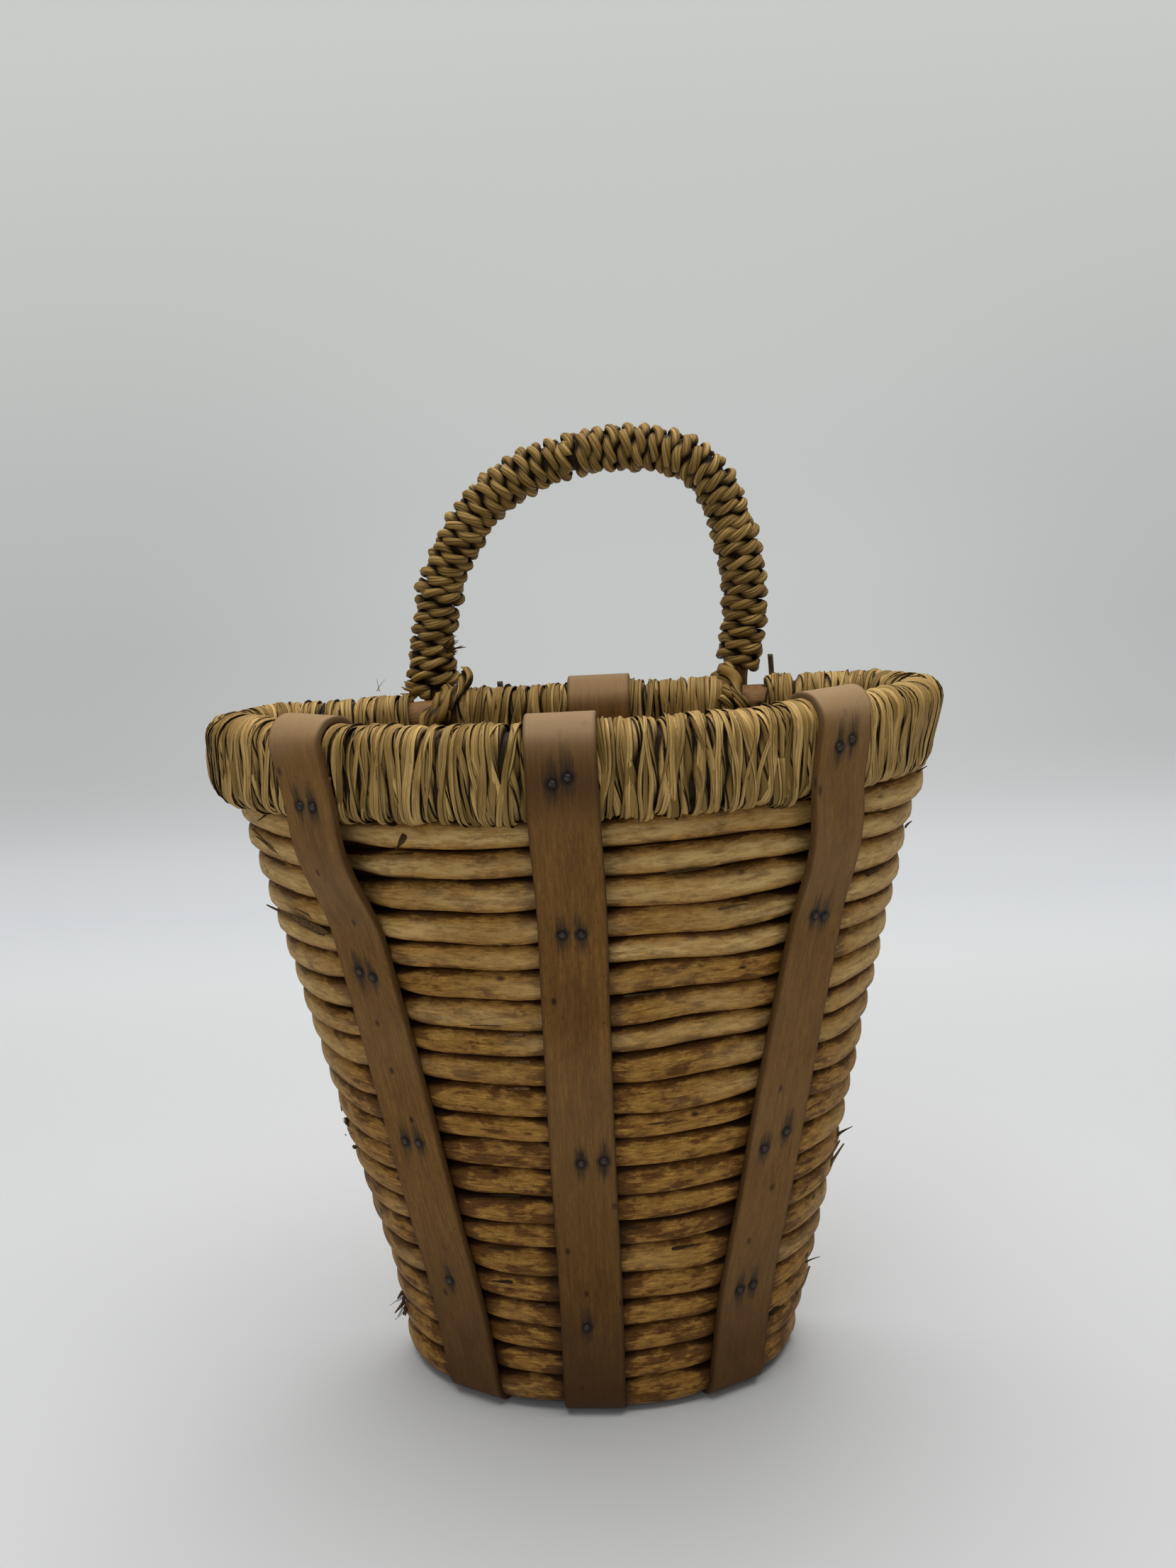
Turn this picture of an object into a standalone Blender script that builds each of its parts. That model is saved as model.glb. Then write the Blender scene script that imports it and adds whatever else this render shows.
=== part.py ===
"""A half-round picking basket of stacked rods with a rush-wrapped rim and a rope-wound bow handle.

The plan is a half ellipse at the front and a straight back wall. It widens from the base to the rim.
Four bent wooden straps are folded under the base, run up the outside, over the wrapped rim and down
the inside, and small nails hold them to the rods. X is to the basket's right, the bowed front faces
-Y, and Z = 0 is the surface that the basket stands on. All lengths are in metres.
"""

import math

import bmesh
import bpy
import numpy as np
from mathutils import Vector

# Overall sizes of the basket.
RIM_HEIGHT = 0.326
RIM_HALF_WIDTH = 0.1632
RIM_FRONT_DEPTH = 0.107
BASE_HALF_WIDTH = 0.0965
BASE_FRONT_DEPTH = 0.0645
TOP_HALF_WIDTH = 0.1545
TOP_FRONT_DEPTH = 0.0985
FLARE_POWER_SHARE = 1.12
BACK_FACE_Y = 0.0105
WALL_CORNER_RADIUS = 0.022
RIM_CORNER_RADIUS = 0.040
CLEARANCE = 0.0003
JOINT_GAP = 0.0006
WELD_DISTANCE = 0.00003

# The rods of the wall, from the base up, each as a share of the mean thickness.
ROD_THICKNESS_SHARES = (1.15, 1.05, 1.05, 0.95, 1.05, 1.15, 0.9, 0.95, 1.05, 1.05, 0.85,
                        1.1, 1.05, 0.9, 1.0, 1.0, 0.85, 1.0, 1.05, 0.9, 0.95)
FRONT_PANEL_STEPS = 2
END_PANEL_STEPS = 2
CORNER_STEPS = 3

# The rim: two hoops, one above the other, and the rush wound round them.
HOOP_DIAMETER = 0.0150
WRAP_HEIGHT = 0.038
WRAP_WIDTH = 0.0200
WRAP_CHAMFER = 0.0058
BORE_CHAMFER = 0.0047
RUSH_PITCH = 0.0062
GROOVE_SHARE = 0.93
BORE_OVERRUN = 0.004
SMOOTH_DEGREES = 50.0

# The bent wooden straps. The angles are measured in the ellipse from the middle of the front.
STRAP_WIDTH = 0.028
STRAP_THICKNESS = 0.0032
STRAP_FLAT_MARGIN = 0.0015
STRAP_FOLD_LENGTH = 0.026
STRAP_SPRING_LENGTH = 0.052
STRAP_STEPS = 8
SPRING_STEPS = 6
BEND_STEPS = 3
FRONT_STRAPS = {
    "strap_front_left": {"foot": -37.0, "rim": -39.5},
    "strap_front_centre": {"foot": -4.0, "rim": 0.5},
    "strap_front_right": {"foot": 35.0, "rim": 42.5},
}
BACK_STRAP_X = 0.0120

# The nails of each strap: shares of the rim's height, and where each stands across a pair's spacing.
NAIL_HEAD_DIAMETER = 0.0034
NAIL_HEAD_HEIGHT = 0.0008
NAIL_SPACING = 0.0066
NAIL_SIDES = 6
NAIL_PLACE_SHARES = {
    "strap_front_left": ((0.915, -0.5), (0.915, 0.5), (0.66, -0.5), (0.65, 0.5), (0.42, -0.5), (0.415, 0.5),
                         (0.20, 0.0)),
    "strap_front_centre": ((0.94, -0.5), (0.945, 0.5), (0.73, -0.5), (0.73, 0.5), (0.41, -0.5), (0.41, 0.5),
                           (0.145, 0.0)),
    "strap_front_right": ((0.92, -0.5), (0.925, 0.5), (0.73, -0.5), (0.73, 0.5), (0.41, -0.7), (0.43, 0.6),
                          (0.20, -0.5), (0.205, 0.5)),
}

# The base board.
BASE_THICKNESS = 0.010

# The bow handle, its rope and its lashings. The route is in shares of half the distance between the
# feet and of the rise over the rim, from the left foot over the top to the right foot.
FOOT_HALF_SPACING = 0.070
HANDLE_CENTRE_X = 0.005
HANDLE_RISE = 0.103
LEG_DROP = 0.085
BOW_DIAMETER = 0.0100
ROPE_DIAMETER = 0.0046
BOW_ROUTE_SHARES = (
    (-1.00, 0.00), (-0.985, 0.18), (-0.935, 0.34), (-0.87, 0.48), (-0.775, 0.62), (-0.64, 0.76),
    (-0.46, 0.88), (-0.24, 0.955), (0.05, 0.995), (0.36, 0.987), (0.62, 0.94), (0.82, 0.85),
    (0.945, 0.72), (1.02, 0.57), (1.05, 0.40), (1.035, 0.20), (1.00, 0.00),
)
BOW_STEPS = 22
ROPE_JOIN_SHARE = 0.50
ROPE_TURNS = 20
STEPS_A_TURN = 8
ROPE_START = 0.0065
ROPE_JOIN_GAP = 0.0012
FOOT_GAP = 0.024

# The twigs behind the back rim, each to the right of a foot: how far its ends stand from the foot's
# middle, in shares of the foot's gap in the rush, and how high they are, in shares of the rim's height.
TWIG_DIAMETER = 0.0026
TWIG_END_SHARES = {
    "twig_left": ((1.50, 0.80), (1.29, 1.003)),
    "twig_right": ((0.86, 0.80), (0.66, 1.024)),
}

# The lashing of each foot.
LASHING_DIAMETER = 0.0034
LASHING_HALF_SPAN = 0.0098
LASHING_DRIFT = 0.0068
LASHING_START_DEGREES = -30.0
LASHING_END_DEGREES = 390.0
LASHING_STEPS = 28
LASHING_ROUNDNESS = 0.5

# How finely curves are worked out before points are picked from them.
SPLINE_STEPS = 20
ARCH_STEPS = 400
GAP_SAMPLE_SHARES = (0.0, 0.25, 0.5, 0.75)

# The materials: linear RGB colour, roughness and metallic.
MATERIALS = {
    "peeled_rod": ((0.46, 0.28, 0.11), 0.55, 0.0),
    "bent_strap_wood": ((0.21, 0.125, 0.062), 0.6, 0.0),
    "twisted_rush": ((0.42, 0.31, 0.13), 0.8, 0.0),
    "seagrass_rope": ((0.27, 0.185, 0.075), 0.85, 0.0),
    "peeled_hoop": ((0.40, 0.24, 0.14), 0.6, 0.0),
    "base_board_wood": ((0.30, 0.19, 0.10), 0.7, 0.0),
    "twig_bark": ((0.06, 0.045, 0.03), 0.7, 0.0),
    "nail_iron": ((0.05, 0.045, 0.04), 0.5, 0.9),
}

# Sizes that follow from the ones above.
FLOOR_OF_RODS = STRAP_THICKNESS + CLEARANCE
TOP_OF_RODS = RIM_HEIGHT - WRAP_HEIGHT - CLEARANCE
MEAN_PITCH = (TOP_OF_RODS - FLOOR_OF_RODS) / sum(ROD_THICKNESS_SHARES)
WALL_THICKNESS = MEAN_PITCH * max(ROD_THICKNESS_SHARES)
RIM_BACK_Y = BACK_FACE_Y + (WRAP_WIDTH - HOOP_DIAMETER) / 2
BOW_Y = BACK_FACE_Y + CLEARANCE + BOW_DIAMETER / 2
TURN_RADIUS = (BOW_DIAMETER + ROPE_DIAMETER) / 2 / math.cos(math.pi / STEPS_A_TURN) + CLEARANCE
REAR_Y = BOW_Y + TURN_RADIUS + ROPE_DIAMETER / 2
FRONT_Y = -(RIM_FRONT_DEPTH + CLEARANCE + STRAP_THICKNESS)
MIDDLE_Y = (REAR_Y + FRONT_Y) / 2


def clear_scene():
    """Remove every object of the open scene."""
    for item in list(bpy.data.objects):
        bpy.data.objects.remove(item, do_unlink=True)


def new_collection(name):
    """Return a new collection linked to the scene."""
    collection = bpy.data.collections.new(name)
    bpy.context.scene.collection.children.link(collection)
    return collection


def new_material(name, colour, roughness, metallic):
    """Return a Principled material."""
    material = bpy.data.materials.new(name)
    material.use_nodes = True
    shader = material.node_tree.nodes["Principled BSDF"]
    shader.inputs["Base Color"].default_value = (*colour, 1.0)
    shader.inputs["Roughness"].default_value = roughness
    shader.inputs["Metallic"].default_value = metallic
    return material


def place(name, data, material, collection):
    """Link an object that holds the data, moved so that the basket's box is centred on the origin."""
    item = bpy.data.objects.new(name, data)
    item.location.y = -MIDDLE_Y
    if not data.materials:
        data.materials.append(material)
    collection.objects.link(item)
    return item


def ellipse_half_width(half_width, front_depth, back_y, corner_radius):
    """Half width of the front's ellipse, so that the plan is as wide as asked where its corner starts."""
    return half_width / math.sqrt(1 - ((corner_radius - back_y) / front_depth) ** 2)


def wall_front_depth(height):
    """How far the wall's outer face stands in front of its widest plane at a height."""
    return BASE_FRONT_DEPTH + (TOP_FRONT_DEPTH - BASE_FRONT_DEPTH) * height / TOP_OF_RODS


def wall_half_width(height):
    """Half width of the ellipse of the wall's outer face at a height; the sides flare a little."""
    share = (height / TOP_OF_RODS) ** FLARE_POWER_SHARE
    half_width = BASE_HALF_WIDTH + (TOP_HALF_WIDTH - BASE_HALF_WIDTH) * share
    return ellipse_half_width(half_width, wall_front_depth(height), BACK_FACE_Y, WALL_CORNER_RADIUS)


def rim_half_width():
    """Half width of the ellipse of the wrap's outer face."""
    return ellipse_half_width(RIM_HALF_WIDTH, RIM_FRONT_DEPTH, RIM_BACK_Y, RIM_CORNER_RADIUS)


def ellipse_point(angle, half_width, front_depth):
    """A point of the bowed front and its outward normal; angle 0 is the middle of the front."""
    point = np.array([half_width * math.sin(angle), -front_depth * math.cos(angle)])
    normal = np.array([math.sin(angle) / half_width, -math.cos(angle) / front_depth])
    return point, normal / np.linalg.norm(normal)


def strap_angle(strap, height):
    """Where a front strap crosses the plan at a height, in radians."""
    share = min(height / TOP_OF_RODS, 1.0)
    return math.radians(strap["foot"] + (strap["rim"] - strap["foot"]) * share)


def strap_flat(strap, half_width, front_depth, height):
    """The straight run of the plan under a strap: its first and last angle, its middle and normal."""
    angle = strap_angle(strap, height)
    stretch = math.hypot(half_width * math.cos(angle), front_depth * math.sin(angle))
    reach = (STRAP_WIDTH / 2 + STRAP_FLAT_MARGIN) / stretch
    first, _ = ellipse_point(angle - reach, half_width, front_depth)
    last, _ = ellipse_point(angle + reach, half_width, front_depth)
    along = (last - first) / np.linalg.norm(last - first)
    return angle - reach, angle + reach, (first + last) / 2, np.array([along[1], -along[0]])


def plan_ring(half_width, front_depth, back_y, corner_radius, height, inset):
    """Centreline of a ring bent round the plan, from its joint in the back round the front and back.

    The outer outline is an ellipse at the front, made straight under each strap, with two round
    corners and a straight back. Each of its points is moved inward by the inset.
    """
    points = []
    normals = []
    end_angle = math.acos((corner_radius - back_y) / front_depth)
    flats = [strap_flat(strap, half_width, front_depth, height) for strap in FRONT_STRAPS.values()]
    stops = [-end_angle] + [angle for flat in flats for angle in flat[:2]] + [end_angle]
    inner_counts = (END_PANEL_STEPS, 0, FRONT_PANEL_STEPS, 0, FRONT_PANEL_STEPS, 0, END_PANEL_STEPS)
    for index, count in enumerate(inner_counts):
        for angle in np.linspace(stops[index], stops[index + 1], count + 2)[:-1]:
            point, normal = ellipse_point(angle, half_width, front_depth)
            flat_index = (index - 1) // 2 if index % 2 else (index - 2) // 2
            at_flat = angle == stops[index] and 0 < index
            points.append(point)
            normals.append(flats[flat_index][3] if at_flat else normal)
    points.append(ellipse_point(end_angle, half_width, front_depth)[0])
    normals.append(np.array([1.0, 0.0]))
    normals[0] = np.array([-1.0, 0.0])
    edge = points[-1][0] - corner_radius
    for step in range(1, CORNER_STEPS + 1):
        turn = math.pi / 2 * step / CORNER_STEPS
        normal = np.array([math.cos(turn), math.sin(turn)])
        points.append(np.array([edge, back_y - corner_radius]) + normal * corner_radius)
        normals.append(normal)
        mirrored = normal * (-1, 1)
        points.insert(0, np.array([-edge, back_y - corner_radius]) + mirrored * corner_radius)
        normals.insert(0, mirrored)
    ring = np.array(points) - np.array(normals) * inset
    back = back_y - inset
    first = np.array([[BACK_STRAP_X - JOINT_GAP / 2, back]])
    last = np.array([[BACK_STRAP_X + JOINT_GAP / 2, back]])
    ring = np.vstack([first, ring, last])
    return np.column_stack([ring, np.full(len(ring), height)])


def poly_curve(name, points, resolution=0, depth=0.0, radii=None, profile=None, cyclic=False):
    """A curve through the points: a round tube, or a sweep of the profile's outline."""
    curve = bpy.data.curves.new(name, "CURVE")
    curve.dimensions = "3D"
    curve.bevel_depth = depth
    curve.bevel_resolution = resolution
    curve.use_fill_caps = not cyclic
    spline = curve.splines.new("POLY")
    spline.points.add(len(points) - 1)
    for index, point in enumerate(points):
        spline.points[index].co = (*point, 1.0)
        spline.points[index].radius = 1.0 if radii is None else radii[index]
    spline.use_cyclic_u = cyclic
    spline.use_smooth = True
    if profile is not None:
        curve.bevel_mode = "OBJECT"
        curve.bevel_object = profile
    return curve


def build_rods(collection, material):
    """The stacked rods, each bent round the plan with its two ends meeting in the back."""
    floor = FLOOR_OF_RODS
    for index, share in enumerate(ROD_THICKNESS_SHARES):
        pitch = MEAN_PITCH * share
        radius = (pitch - CLEARANCE) / 2
        height = floor + pitch / 2
        ring = plan_ring(wall_half_width(height), wall_front_depth(height), BACK_FACE_Y,
                         WALL_CORNER_RADIUS, height, radius)
        name = f"rod_{index + 1:02d}"
        curve = poly_curve(name, ring, resolution=2, depth=radius)
        curve.twist_mode = "Z_UP"
        place(name, curve, material, collection)
        floor += pitch


def build_base(collection, material):
    """The half-round base board inside the lowest rod, lying on the folded strap ends."""
    pitch = MEAN_PITCH * ROD_THICKNESS_SHARES[0]
    height = FLOOR_OF_RODS + pitch / 2
    outline = plan_ring(wall_half_width(height), wall_front_depth(height), BACK_FACE_Y,
                        WALL_CORNER_RADIUS, height, pitch + CLEARANCE)
    curve = bpy.data.curves.new("base_board", "CURVE")
    curve.dimensions = "2D"
    curve.fill_mode = "BOTH"
    curve.extrude = BASE_THICKNESS / 2
    spline = curve.splines.new("POLY")
    spline.points.add(len(outline) - 3)
    for index, point in enumerate(outline[1:-1]):
        spline.points[index].co = (point[0], point[1], 0.0, 1.0)
    spline.use_cyclic_u = True
    board = place("base_board", curve, material, collection)
    board.location.z = FLOOR_OF_RODS + BASE_THICKNESS / 2


def rim_ring(height, inset):
    """A ring of the rim, inset from the wrap's outer face."""
    return plan_ring(rim_half_width(), RIM_FRONT_DEPTH, RIM_BACK_Y, RIM_CORNER_RADIUS, height, inset)


def build_hoops(collection, material):
    """The two peeled hoops under the rush, one above the other."""
    middle = RIM_HEIGHT - WRAP_HEIGHT / 2
    offset = (HOOP_DIAMETER + CLEARANCE) / 2
    for name, height in (("rim_hoop_lower", middle - offset), ("rim_hoop_upper", middle + offset)):
        curve = poly_curve(name, rim_ring(height, WRAP_WIDTH / 2), resolution=1,
                           depth=HOOP_DIAMETER / 2)
        curve.twist_mode = "Z_UP"
        place(name, curve, material, collection)


def section_outline(name, width, height, chamfer, collection):
    """A flat upright outline with cut corners, used as a sweep's section."""
    across, up = width / 2, height / 2
    corners = [(across, up - chamfer), (across - chamfer, up), (chamfer - across, up), (-across, up - chamfer)]
    corners += [(-x, -y) for x, y in corners]
    curve = poly_curve(name, [(x, y, 0.0) for x, y in reversed(corners)], cyclic=True)
    curve.dimensions = "2D"
    guide = bpy.data.objects.new(name, curve)
    guide.hide_render = True
    guide.display_type = "WIRE"
    collection.objects.link(guide)
    return guide


def mesh_from(item):
    """The evaluated mesh of a curve object, with its caps welded on."""
    depsgraph = bpy.context.evaluated_depsgraph_get()
    mesh = bpy.data.meshes.new_from_object(item.evaluated_get(depsgraph))
    work = bmesh.new()
    work.from_mesh(mesh)
    bmesh.ops.remove_doubles(work, verts=work.verts, dist=WELD_DISTANCE)
    work.to_mesh(mesh)
    work.free()
    return mesh


def lengths_along(points):
    """The distance of each point from the first, along the line."""
    return np.concatenate([[0.0], np.cumsum(np.linalg.norm(np.diff(points, axis=0), axis=1))])


def polyline_part(points, places):
    """Points of a polyline at the given distances along it."""
    lengths = lengths_along(points)
    return np.column_stack([np.interp(places, lengths, points[:, axis]) for axis in range(points.shape[1])])


def distance_to(points, x):
    """How far along a ring its back stretches reach x, from the joint's left and right side."""
    left = BACK_STRAP_X - JOINT_GAP / 2 - x
    right = lengths_along(points)[-1] - (x - BACK_STRAP_X - JOINT_GAP / 2)
    return left, right


def build_wrap(name, points, start, end, guides, material, collection, cutters):
    """A run of rush wound round the hoops: a ribbed sleeve, two points of unlike radius a turn."""
    turns = round((end - start) / RUSH_PITCH)
    route = polyline_part(points, np.linspace(start, end, 2 * turns + 1))
    radii = [1.0 if index % 2 else GROOVE_SHARE for index in range(len(route))]
    outer = poly_curve(name + "_outer", route, radii=radii, profile=guides[0])
    lengths = lengths_along(points)
    corners = lengths[(lengths > start) & (lengths < end)]
    bore_route = polyline_part(points, [start - BORE_OVERRUN, *corners, end + BORE_OVERRUN])
    bore = poly_curve(name + "_bore", bore_route, profile=guides[1])
    pieces = []
    for curve in (outer, bore):
        curve.twist_mode = "Z_UP"
        item = place(curve.name, curve, material, collection)
        mesh = mesh_from(item)
        bpy.data.objects.remove(item, do_unlink=True)
        pieces.append(mesh)
    sleeve = place(name, pieces[0], material, collection)
    cutter = place(name + "_bore", pieces[1], material, cutters)
    cutter.hide_render = True
    cutter.display_type = "WIRE"
    cut = sleeve.modifiers.new("bore", "BOOLEAN")
    cut.object = cutter
    cut.operation = "DIFFERENCE"
    sleeve.data.shade_smooth()
    sleeve.data.set_sharp_from_angle(angle=math.radians(SMOOTH_DEGREES))


def build_wraps(collection, cutters, material):
    """The rush on the rim: a long run round the front and a short one between the handle's feet."""
    guides = (
        section_outline("wrap_section", WRAP_WIDTH, WRAP_HEIGHT, WRAP_CHAMFER, cutters),
        section_outline("bore_section", HOOP_DIAMETER + 2 * CLEARANCE,
                        2 * HOOP_DIAMETER + 3 * CLEARANCE, BORE_CHAMFER, cutters),
    )
    ring = rim_ring(RIM_HEIGHT - WRAP_HEIGHT / 2, WRAP_WIDTH / 2)
    left_foot = HANDLE_CENTRE_X - FOOT_HALF_SPACING
    right_foot = HANDLE_CENTRE_X + FOOT_HALF_SPACING
    start, _ = distance_to(ring, left_foot - FOOT_GAP / 2)
    _, end = distance_to(ring, right_foot + FOOT_GAP / 2)
    build_wrap("rim_wrap_front", ring, start, end, guides, material, collection, cutters)
    back = np.array([ring[0], ring[0]])
    back[0][0] = left_foot
    back[1][0] = right_foot
    build_wrap("rim_wrap_back", back, FOOT_GAP / 2, 2 * FOOT_HALF_SPACING - FOOT_GAP / 2, guides, material,
               collection, cutters)


def strap_route(strap):
    """Middle line of a strap, from its folded end under the base to its end inside the basket.

    Each row holds a plan point on the strap's middle surface, the plan's outward normal there and the
    point's height. Below the rim the strap springs clear of the wall and meets the wrap's outer face.
    """

    def wall(height, outward, face_height=None):
        """A row at the wall's face, read at the row's own height or another, moved outward."""
        face = height if face_height is None else face_height
        if strap is None:
            point, normal = np.array([BACK_STRAP_X, BACK_FACE_Y]), np.array([0.0, 1.0])
        else:
            _, _, point, normal = strap_flat(strap, wall_half_width(face), wall_front_depth(face), face)
        return point + normal * outward, normal, height

    def rim(outward, height):
        """A row by the rim, measured out from the middle of the wrap."""
        if strap is None:
            point, normal = np.array([BACK_STRAP_X, RIM_BACK_Y]), np.array([0.0, 1.0])
        else:
            _, _, point, normal = strap_flat(strap, rim_half_width(), RIM_FRONT_DEPTH, RIM_HEIGHT)
        return point + normal * (outward - WRAP_WIDTH / 2), normal, height

    half = STRAP_THICKNESS / 2
    lowest = MEAN_PITCH * ROD_THICKNESS_SHARES[0] / 2
    bend = lowest + CLEARANCE + half
    bend_height = bend + half
    rows = [wall(half, -lowest - STRAP_FOLD_LENGTH, bend_height), wall(half, -lowest, bend_height)]
    for step in range(1, BEND_STEPS):
        turn = math.pi / 2 * step / BEND_STEPS
        reach = bend / math.cos(math.pi / 4 / BEND_STEPS)
        rows.append(wall(bend_height - reach * math.cos(turn), reach * math.sin(turn) - lowest, bend_height))

    out = CLEARANCE + half
    spring = TOP_OF_RODS - STRAP_SPRING_LENGTH
    rows += [wall(height, out) for height in np.linspace(bend_height, spring, STRAP_STEPS)]
    side = WRAP_WIDTH / 2 + out
    corner_gain = out * math.tan(math.pi / 8)
    shoulder = WRAP_HEIGHT / 2 - WRAP_CHAMFER + corner_gain
    flat = WRAP_WIDTH / 2 - WRAP_CHAMFER + corner_gain
    middle = RIM_HEIGHT - WRAP_HEIGHT / 2
    rim_point, rim_normal, landing = rim(side, middle - shoulder)
    for share in np.linspace(0.0, 1.0, SPRING_STEPS + 1)[1:-1]:
        point, normal, height = wall(spring + (landing - spring) * share, out)
        blend = share * share * (3 - 2 * share)
        rows.append((point + (rim_point - point) * blend, normal + (rim_normal - normal) * blend, height))

    crown = RIM_HEIGHT + out
    rows += [rim(side, landing), rim(side, middle + shoulder), rim(flat, crown), rim(-flat, crown),
             rim(-side, middle + shoulder), rim(-side, middle - shoulder)]
    inside = -WALL_THICKNESS - out
    floor = FLOOR_OF_RODS + BASE_THICKNESS + CLEARANCE
    rows += [wall(height, inside) for height in np.linspace(TOP_OF_RODS - STRAP_THICKNESS, floor, STRAP_STEPS)]
    return rows


def build_strap(name, strap, collection, material):
    """A bent wooden strap: a ribbon along its route, given its thickness."""
    vertices = []
    for point, normal, height in strap_route(strap):
        along = np.array([-normal[1], normal[0]]) / np.linalg.norm(normal) * STRAP_WIDTH / 2
        vertices.append((*(point - along), height))
        vertices.append((*(point + along), height))
    faces = [(i, i + 1, i + 3, i + 2) for i in range(0, len(vertices) - 2, 2)]
    mesh = bpy.data.meshes.new(name)
    mesh.from_pydata(vertices, [], faces)
    strip = place(name, mesh, material, collection)
    solid = strip.modifiers.new("thickness", "SOLIDIFY")
    solid.thickness = STRAP_THICKNESS
    solid.offset = 0.0
    solid.use_even_offset = True


def face_at(strap, height):
    """The strap's outer face at a height: a point on it, its outward and its sideways direction."""
    rows = strap_route(strap)
    crown = max(range(len(rows)), key=lambda index: rows[index][2])
    outside = rows[2:crown]
    heights = [row[2] for row in outside]
    index = int(np.clip(np.searchsorted(heights, height), 1, len(outside) - 1))
    below, above = outside[index - 1], outside[index]
    low = np.array([*below[0], below[2]])
    high = np.array([*above[0], above[2]])
    upward = (high - low) / np.linalg.norm(high - low)
    normal = below[1] + above[1]
    sideways = np.array([-normal[1], normal[0], 0.0]) / np.linalg.norm(normal)
    outward = np.cross(sideways, upward)
    outward *= math.copysign(1.0, float(outward[:2] @ normal))
    point = low + (high - low) * (height - low[2]) / (high[2] - low[2])
    return point + outward * STRAP_THICKNESS / 2, outward, sideways


def build_nails(name, strap, collection, material):
    """The nail heads of a strap, each seated on the strap's outer face."""
    work = bmesh.new()
    bmesh.ops.create_cone(work, cap_ends=True, segments=NAIL_SIDES, radius1=NAIL_HEAD_DIAMETER / 2,
                          radius2=NAIL_HEAD_DIAMETER / 2, depth=NAIL_HEAD_HEIGHT)
    mesh = bpy.data.meshes.new(name.replace("strap", "nail"))
    work.to_mesh(mesh)
    work.free()
    for index, (height_share, side_share) in enumerate(NAIL_PLACE_SHARES[name]):
        point, outward, sideways = face_at(strap, height_share * RIM_HEIGHT)
        middle = point + sideways * side_share * NAIL_SPACING + outward * (CLEARANCE + NAIL_HEAD_HEIGHT / 2)
        head = place(f"{mesh.name}_{index + 1}", mesh, material, collection)
        head.location += Vector(middle)
        head.rotation_mode = "QUATERNION"
        head.rotation_quaternion = Vector((0.0, 0.0, 1.0)).rotation_difference(Vector(outward))


def smooth_route(points, count):
    """Points at even distances on a smooth curve through the given ones (a Catmull-Rom spline)."""
    padded = np.vstack([2 * points[0] - points[1], points, 2 * points[-1] - points[-2]])
    samples = []
    for index in range(len(points) - 1):
        p0, p1, p2, p3 = padded[index:index + 4]
        for share in np.linspace(0.0, 1.0, SPLINE_STEPS, endpoint=False):
            samples.append(0.5 * (2 * p1 + (p2 - p0) * share + (2 * p0 - 5 * p1 + 4 * p2 - p3) * share ** 2
                                  + (3 * p1 - p0 - 3 * p2 + p3) * share ** 3))
    samples.append(points[-1])
    samples = np.array(samples)
    return polyline_part(samples, np.linspace(0.0, lengths_along(samples)[-1], count))


def bow_route(count):
    """The bow's arch over the rim, foot to foot, as evenly spaced points in its own plane (x, z)."""
    shares = np.array(BOW_ROUTE_SHARES)
    points = np.column_stack([HANDLE_CENTRE_X + shares[:, 0] * FOOT_HALF_SPACING,
                              RIM_HEIGHT + shares[:, 1] * HANDLE_RISE])
    return smooth_route(points, count)


def build_bow(collection, material):
    """The bent wooden rod of the handle, with its straight legs behind the back wall."""
    arch = bow_route(BOW_STEPS)
    foot = RIM_HEIGHT - LEG_DROP
    route = np.vstack([[arch[0][0], foot], arch, [arch[-1][0], foot]])
    points = np.column_stack([route[:, 0], np.full(len(route), BOW_Y), route[:, 1]])
    curve = poly_curve("handle_bow", points, resolution=2, depth=BOW_DIAMETER / 2)
    place("handle_bow", curve, material, collection)


def winding_points(start_share, end_share):
    """A rope wound round part of the arch: a helix about the bow, with a straight end at each end."""
    fine = bow_route(ARCH_STEPS)
    lengths = lengths_along(fine)
    tangents = np.gradient(fine, axis=0)
    tangents /= np.linalg.norm(tangents, axis=1)[:, None]
    low = ROPE_START
    high = lengths[-1] - ROPE_START
    margin = (ROPE_JOIN_GAP + ROPE_DIAMETER) / 2
    begin = low if start_share == 0 else low + (high - low) * start_share + margin
    finish = high if end_share == 1 else low + (high - low) * end_share - margin
    count = ROPE_TURNS * STEPS_A_TURN
    points = []
    for step in range(count + 1):
        distance = begin + (finish - begin) * step / count
        turn = 2 * math.pi * step / STEPS_A_TURN
        x, z = (np.interp(distance, lengths, fine[:, axis]) for axis in range(2))
        tx, tz = (np.interp(distance, lengths, tangents[:, axis]) for axis in range(2))
        across = TURN_RADIUS * math.sin(turn)
        points.append((x - tz * across, BOW_Y - TURN_RADIUS * math.cos(turn), z + tx * across))
    points = np.array(points)
    first = points[0] - points[1]
    last = points[-1] - points[-2]
    ends = (points[0] + first / np.linalg.norm(first) * ROPE_DIAMETER,
            points[-1] + last / np.linalg.norm(last) * ROPE_DIAMETER)
    return np.vstack([ends[0], points, ends[1]])


def least_gap(points, diameter, apart):
    """The least gap of a tube to itself, between points of its middle line that lie apart along it."""
    fine = np.vstack([points[:-1] + (points[1:] - points[:-1]) * share for share in GAP_SAMPLE_SHARES])
    order = np.concatenate([np.arange(len(points) - 1) + share for share in GAP_SAMPLE_SHARES])
    distance = np.linalg.norm(fine[:, None, :] - fine[None, :, :], axis=2)
    distance[np.abs(order[:, None] - order[None, :]) < apart] = np.inf
    return distance.min() - diameter


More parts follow.
